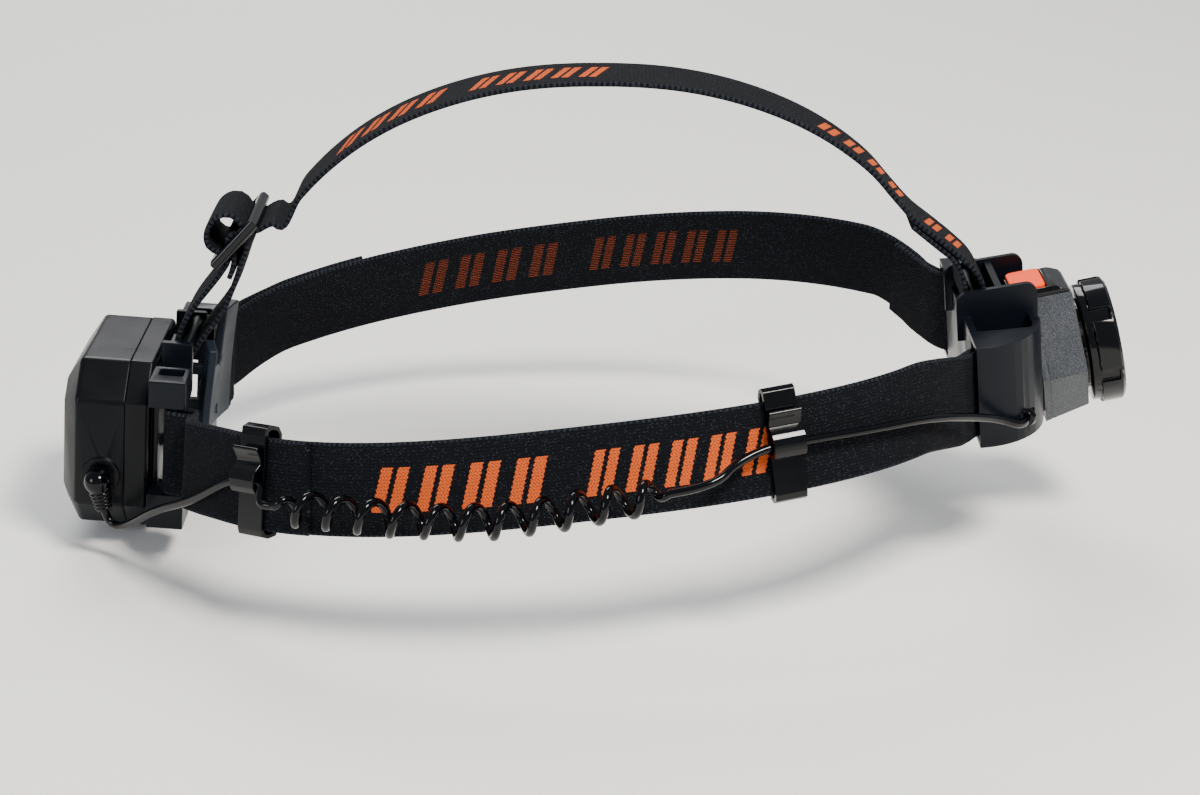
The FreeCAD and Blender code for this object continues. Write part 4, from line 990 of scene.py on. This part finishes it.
        length = float(arc_length(points)[-1])
        for side, sign in (("right", 1.0), ("left", -1.0)):
            mirror = np.array([1.0, sign, 1.0])
            piece = self.band("head_strap_%s_webbing" % side, points * mirror, widths * mirror, middle, -sign)
            self.place(piece, SIDE_WEBBING, "head_strap_" + side, length)


@dataclass
class CrownStrap(Strap):
    """Top strap over the crown, threaded through its slider buckle and folded round both bars."""

    top_bar: tuple[float, float] = (-15.5, 22.5)
    rear_bar: tuple[float, float] = (7.6, 27.9)
    slider_bar: float = 1.4  # radius
    slider: Place = field(default_factory=lambda: Place((-HALF_LOOP + 20.5, 0.0, CROWN_RISE - 46.6), -47.0))
    middle: float = 7.0  # x of the arch's top
    front_tail: tuple[float, ...] = (99.0, 103.0, 107.0, 111.0)  # x of the sewn end's stations
    # (x, z) in the slider's frame: under the top rail, up the front slot, over the bar as a roll, down the rear slot
    threaded: tuple[tuple[float, float], ...] = (
        (11.6, -4.7), (9.4, -3.4), (7.3, -2.8), (5.6, -1.7), (4.85, -0.1), (4.9, 1.8), (5.5, 3.9), (5.2, 6.0),
        (3.7, 7.8), (1.2, 8.8), (-1.8, 8.6), (-4.6, 7.2), (-6.3, 5.0), (-6.3, 2.8), (-5.4, 1.0), (-4.9, -0.4),
        (-5.6, -1.9), (-7.4, -2.8), (-9.6, -3.1))
    returning: tuple[tuple[float, float], ...] = ((-16.2, -10.4), (-9.0, -7.7), (-2.6, -5.0), (0.8, -3.7))
    sewn: tuple[tuple[float, float], ...] = ((-3.6, -2.6), (-6.3, -4.5), (-9.6, -5.9))

    def arch(self, x: Array) -> Array:
        """Height of the arch: a superellipse that eases to a straight run to the lamp from x = 86 mm.

        Args:
            x: distance forward of the frame's origin.

        Returns:
            The height above it.
        """
        share = np.abs(x - self.middle) / (HALF_LOOP - 12.5)
        curve = CROWN_RISE * np.maximum(1 - share**2.2, 0) ** (1 / 2.2)
        straight = 40.0 + (HALF_LOOP - 5.8 - x) * 0.82
        blend = smoothstep((x - 86.0) / 18.0)
        return curve * (1 - blend) + straight * blend

    def line(self) -> Array:
        """The centre line, from the sewn front end to the end sewn round the slider's bar.

        Returns:
            The points.
        """
        rows: list[Array] = []

        def on(place: Place, points: Iterable[tuple[float, float]]) -> None:
            """Adds (x, z) points of a frame."""
            rows.extend(place.world([x, 0.0, z]) for x, z in points)

        # the sewn front end lies under the strap
        for x in self.front_tail:
            pair = np.array([[x + d, 0.0, float(self.arch(np.array(x + d)))] for d in (-0.5, 0.5)])
            way = unit(pair[1] - pair[0])
            rows.append(pair.mean(0) + np.array([way[2], 0.0, -way[0]]) * self.layer)
        # round the bracket's top bar, and up to the arch
        tx, tz = self.top_bar
        on(BRACKET, arc_points(self.top_bar, self.fold, 168, 380, 12))
        on(BRACKET, [(tx + 2.45, tz + 4.0), (tx + 0.6, tz + 7.9)])
        xs = np.linspace(HALF_LOOP - 6.0, -HALF_LOOP + 33.0, 31)
        rows.extend(np.stack([xs, np.zeros(len(xs)), self.arch(xs)], -1))
        # through the slider, round the rear bracket's bar and back to the slider's bar
        on(self.slider, self.threaded)
        on(PACK, arc_points(self.rear_bar, self.fold, 165, 345, 10))
        on(self.slider, self.returning)
        on(self.slider, arc_points((0, 0), self.slider_bar + self.gap / 2 + self.thick / 2, -30, 200, 10))
        on(self.slider, self.sewn)
        return np.array(rows)

    def build(self) -> None:
        """Makes the strap."""
        points = self.line()
        widths = np.repeat([[0.0, 1.0, 0.0]], len(points), 0)

        def middle(line: Array) -> int:
            """The row at the top of the arch."""
            return int(np.argmin(np.abs(line[:, 0] - self.middle) + (line[:, 2] < 80) * 1e3))

        piece = self.band("top_strap_webbing", points, widths, middle, -1.0)
        self.place(piece, CROWN_WEBBING, "top_strap", float(arc_length(points)[-1]))


# ---------------------------------------------------------------- curly cable


@dataclass
class CurlyCable:
    """The cable: a lead from the bracket, a curly section and a lead to the battery box."""

    diameter: float = 2.4
    coil: float = 10.4  # outside diameter of the curly section
    turns: int = 12
    per_turn: int = 14  # route points for each turn
    first_angle: float = 200.0  # degrees round the coil where the first turn starts
    ease: float = 0.8  # turns over which the coil reaches its full size at each end
    unevenness: float = 0.03  # of the turns' radius
    clip_gap: float = 0.3  # between strap and clip
    clip_sheet: float = 1.2
    clip_channel: tuple[float, float] = (1.0, 2.0)  # the cable in a clip: up across the strap, and out from the sheet
    front_clip: float = 56.0  # x
    rear_clip: float = -84.5
    wing_middle: tuple[float, float] = (-18.5, -20.0)  # of the bracket's right wing, an ellipse in plan
    wing_radii: tuple[float, float] = (20.3, 23.5)
    wing_corners: tuple[float, float] = (45.0, 52.5)  # degrees of the two outline points beside the grommet
    grommet_height: float = -5.5
    grommet_way: tuple[float, float, float] = (-0.29, -0.94, -0.1)
    collar: float = 2.0  # from the wing to the grommet's outer end
    relief_root: tuple[float, float, float] = (-13.6, -35.2, -6.8)  # in the battery box's frame
    relief_way: tuple[float, float, float] = (0.25, 0.0, -0.97)
    relief_length: float = 8.8
    headband: Headband = field(default_factory=Headband)

    def in_clip(self, x: float, extra: float, along: float) -> Array:
        """The cable's point in a clip.

        Args:
            x: the clip's distance forward of the middle.
            extra: thickness of what lies between strap and clip.
            along: shift to the rear.

        Returns:
            The point.
        """
        across, out = self.clip_channel
        sheet = self.headband.thick / 2 + self.clip_gap + self.clip_sheet / 2
        return self.headband.beside(x, across, sheet + extra + out, along)

    def coil_line(self) -> Array:
        """The curly section's middle line, front to rear: it rests on the strap and sags below its middle.

        Returns:
            Its control points.
        """
        out = self.headband.thick / 2 + self.coil / 2
        stops = [(24.5, -6.2, 3.9), (2.3, -7.6, 4.6), (-20.0, -9.0, 4.0), (-38.5, -7.4, 3.6), (-56.0, -5.4, 3.2),
                 (-75.5, -4.2, 3.4)]
        return np.array([self.headband.beside(x, across, out + gap) for x, across, gap in stops])

    def front_lead(self) -> Array:
        """The lead from the bracket's grommet, through the front clip, to the curly section.

        The grommet sits half way between two points of the wing's outline.

        Returns:
            Its control points.
        """
        angles = np.radians(self.wing_corners)
        x = self.wing_middle[0] + self.wing_radii[0] * np.cos(angles)
        y = self.wing_middle[1] - self.wing_radii[1] * np.sin(angles)
        out = unit(np.array(self.grommet_way))
        start = BRACKET.world(np.array([x.mean(), y.mean(), self.grommet_height]) + out * self.collar)
        beside, coil = self.headband.beside, self.coil_line()
        return np.array([start, start + BRACKET.direction(out) * 5.0, beside(111.0, -6.0, 8.0),
                         beside(96.0, -2.4, 4.4), beside(79.0, -0.2, 4.0), self.in_clip(self.front_clip, 0, -6.0),
                         self.in_clip(self.front_clip, 0, 6.0), beside(41.5, -1.6, 6.0), beside(37.0, -4.6, 9.3),
                         coil[0] + unit(coil[0] - coil[1]) * 6.0])

    def rear_lead(self) -> Array:
        """The lead from the curly section, through the rear clip, down and up into the strain relief.

        Returns:
            Its control points.
        """
        coil = self.coil_line()
        down = unit(np.array(self.relief_way))
        tip = PACK.world(np.array(self.relief_root) + down * self.relief_length)
        low = tip + PACK.direction(down) * 4.2
        tail = self.headband.thick + self.headband.gap
        return np.array([coil[-1] + unit(coil[-1] - coil[-2]) * 4.0, self.in_clip(self.rear_clip, tail, -5.6),
                         self.in_clip(self.rear_clip, tail, 5.6), [-HALF_LOOP + 13.5, -66.5, -13.0],
                         [-HALF_LOOP - 0.5, -52.0, -21.8], low + np.array([5.4, -3.6, -0.2]), low, tip])

    def helix(self) -> Array:
        """The curly section's turns, wound round points read from the middle line's own spline.

        The radius eases in over the first turn and out over the last, and differs a little from turn to turn.

        Returns:
            Its control points.
        """
        guide = spline_curve("coil_guide", self.coil_line(), 0.0)
        mesh = bpy.data.meshes.new_from_object(guide)
        line = np.zeros(len(mesh.vertices) * 3)
        mesh.vertices.foreach_get("co", line)
        line = line.reshape(-1, 3) / MM
        bpy.data.objects.remove(guide)
        bpy.data.meshes.remove(mesh)
        length = arc_length(line)
        share = np.linspace(0, 1, self.turns * self.per_turn + 1)
        spots = np.stack([np.interp(share * length[-1], length, line[:, i]) for i in range(3)], -1)
        way = unit(np.gradient(spots, axis=0))
        side = unit(np.cross(way, [0.0, 0.0, 1.0]))
        up = np.cross(side, way)
        angle = 2 * np.pi * self.turns * share + math.radians(self.first_angle)
        size = smoothstep(share * self.turns / self.ease) * smoothstep((1 - share) * self.turns / self.ease)
        # the spline cuts inside its control points, so they lie a little outside the real radius
        radius = (self.coil - self.diameter) / 2 / math.cos(math.pi / self.per_turn) * size
        radius = radius * (1 + self.unevenness * np.sin(angle * 0.37))
        return spots + side * (np.cos(angle) * radius)[:, None] + up * (np.sin(angle) * radius)[:, None]

    def build(self) -> None:
        """Makes the cable as one spline from the grommet to the strain relief."""
        route = np.vstack([self.front_lead(), self.helix(), self.rear_lead()])
        piece = spline_curve("cable", route, self.diameter / 2)
        PVC.dress(piece)
        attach(piece, HARNESS)
        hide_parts("cable_lead_front", "cable_coil", "cable_lead_rear")


def spline_curve(name: str, points: Array, radius: float) -> bpy.types.Object:
    """Makes a curve of one open NURBS spline.

    Args:
        name: the piece's name.
        points: its control points in millimetres.
        radius: the tube's radius in millimetres, or 0 for a bare line.

    Returns:
        The curve object.
    """
    curve = bpy.data.curves.new(name, "CURVE")
    curve.dimensions = "3D"
    curve.resolution_u = 6
    curve.bevel_depth = radius * MM
    curve.bevel_resolution = 4
    curve.use_fill_caps = True
    spline = curve.splines.new("NURBS")
    spline.points.add(len(points) - 1)
    spline.points.foreach_set("co", np.hstack([points * MM, np.ones((len(points), 1))]).ravel())
    spline.order_u = 3
    spline.use_endpoint_u = True
    return linked(name, curve)


# ---------------------------------------------------------------- hard parts


@dataclass
class HardParts:
    """Moulded and metal parts whose shape is the CAD's, with their own finishes. Those that show get rounded edges."""

    # node: (finish, edge radius in millimetres)
    rounded: dict[str, tuple[Finish, float]] = field(default_factory=lambda: {
        "lamp_body": (GRAPHITE, 0.6), "lamp_rear_cover": (GRAPHITE, 0.5), "top_cap": (GLOSS_BLACK, 0.4),
        "switch_button": (ORANGE, 0.0), "zoom_bezel": (GLOSS_BLACK, 0.35), "lens_ring": (GLOSS_BLACK, 0.3),
        "lens": (LENS, 0.0), "lamp_bracket": (BRACKET_BLACK, 0.6), "battery_case": (CASE_BLACK, 1.2),
        "battery_base": (CASE_BLACK, 0.4), "rear_bracket": (BRACKET_BLACK, 0.5), "rear_cradle": (CRADLE_GREY, 0.6),
        "strain_relief": (PVC, 0.0), "slider_buckle": (GLOSS_BLACK, 0.25), "cable_clip_front": (GLOSS_BLACK, 0.25),
        "cable_clip_rear": (GLOSS_BLACK, 0.25), "cable_grommet": (PVC, 0.3), "charge_socket": (SWITCH_BLACK, 0.2),
        "hinge_pin": (PIN_STEEL, 0.25)})
    # inside the lamp and the box, and the screws
    plain: dict[str, Finish] = field(default_factory=lambda: {
        "cover_screws": SCREW_STEEL, "case_screws": SCREW_STEEL, "bracket_screws": SCREW_STEEL,
        "tact_switch": SWITCH_BLACK, "switch_board": BOARD, "heat_sink": ALUMINIUM, "driver_board": BOARD,
        "led_board": LED_BOARD, "led_emitter": PHOSPHOR, "sleeve_o_ring": SEAL, "case_seal": SEAL,
        "battery_cell_upper": CELL_WRAP, "battery_cell_lower": CELL_WRAP, "contact_plates": CONTACT,
        "contact_springs": CONTACT, "charge_board": BOARD})
    # parts with long straight edges beside fine ones
    long_edged: tuple[str, ...] = ("lamp_body", "top_cap", "zoom_bezel", "battery_case", "battery_base",
                                   "rear_bracket", "rear_cradle", "slider_buckle")

    def build(self) -> None:
        """Makes the rounded copies and dresses the rest."""
        for node, (finish, radius) in self.rounded.items():
            finish.dress(SoftEdge.build(node, radius, node in self.long_edged))
            LOG.info("%s, %s", node, finish.name)
        for node, finish in self.plain.items():
            finish.dress_node(node)
            LOG.info("%s, %s", node, finish.name)


# ---------------------------------------------------------------- studio


@dataclass
class Studio:
    """Floor, lights and camera, in metres and degrees."""

    distance: float = 0.8
    elevation: float = 20.0
    target: tuple[float, float, float] = (0.0075, 0.0, -0.0068)
    lens: float = 80.0  # millimetres
    sensor: float = 36.0
    floor_drop: float = 0.004
    floor_half: float = 6.0
    ambient: float = 0.42  # strength of the light from all round

    def floor(self) -> None:
        """A plain pale floor a little below the lowest point, since the lamp is worn and not stood on it."""
        level, half = CAD_BOX[0][2] - self.floor_drop, self.floor_half
        mesh = bpy.data.meshes.new("floor")
        mesh.from_pydata([(x * half, y * half, level) for x, y in ((-1, -1), (1, -1), (1, 1), (-1, 1))], [],
                         [(0, 1, 2, 3)])
        made = bpy.data.materials.new("pale_floor")
        made.use_nodes = True
        inputs = made.node_tree.nodes["Principled BSDF"].inputs
        inputs["Base Color"].default_value = linear("#f2f2ef")
        inputs["Roughness"].default_value = 0.6
        mesh.materials.append(made)
        linked("floor", mesh)

    def aim(self, item: bpy.types.Object, place: Sequence[float]) -> None:
        """Puts a light or the camera somewhere and turns it to the lamp.

        Args:
            item: the light or camera.
            place: where it goes.
        """
        item.location = place
        item.rotation_euler = (Vector(self.target) - item.location).to_track_quat("-Z", "Y").to_euler()

    def light(self, name: str, place: tuple[float, float, float], size: float, power: float, colour: str) -> None:
        """Adds a square area light that faces the lamp.

        Args:
            name: its name.
            place: where it stands.
            size: its side.
            power: in watts.
            colour: six hex digits after a #.
        """
        data = bpy.data.lights.new(name, "AREA")
        data.size = size
        data.energy = power
        data.color = linear(colour)[:3]
        self.aim(linked(name, data), place)

    def build(self) -> None:
        """Makes the floor, three soft lights, the world and the camera."""
        self.floor()
        self.light("key", (0.50, -0.62, 1.10), 0.35, 30.0, "#fffaf2")
        self.light("fill", (-1.1, -0.9, 0.55), 0.5, 7.0, "#eef3ff")
        self.light("back", (-0.3, 1.2, 1.1), 0.8, 18.0, "#ffffff")
        world = bpy.data.worlds.new("studio")
        world.use_nodes = True
        inputs = world.node_tree.nodes["Background"].inputs
        inputs["Color"].default_value = linear("#f4f6fa")
        inputs["Strength"].default_value = self.ambient
        bpy.context.scene.world = world
        data = bpy.data.cameras.new("camera")
        data.lens = self.lens
        data.sensor_width = self.sensor
        camera = linked("camera", data)
        rise = math.radians(self.elevation)
        self.aim(camera, Vector(self.target) + Vector((0.0, -math.cos(rise), math.sin(rise))) * self.distance)
        bpy.context.scene.camera = camera


def main() -> None:
    """Builds the studio and every sub-assembly."""
    logging.basicConfig(level=logging.INFO, format="%(name)s: %(message)s")
    Studio().build()
    CurlyCable().build()
    Headband().build()
    CrownStrap().build()
    HardParts().build()


if __name__ == "__main__":
    main()
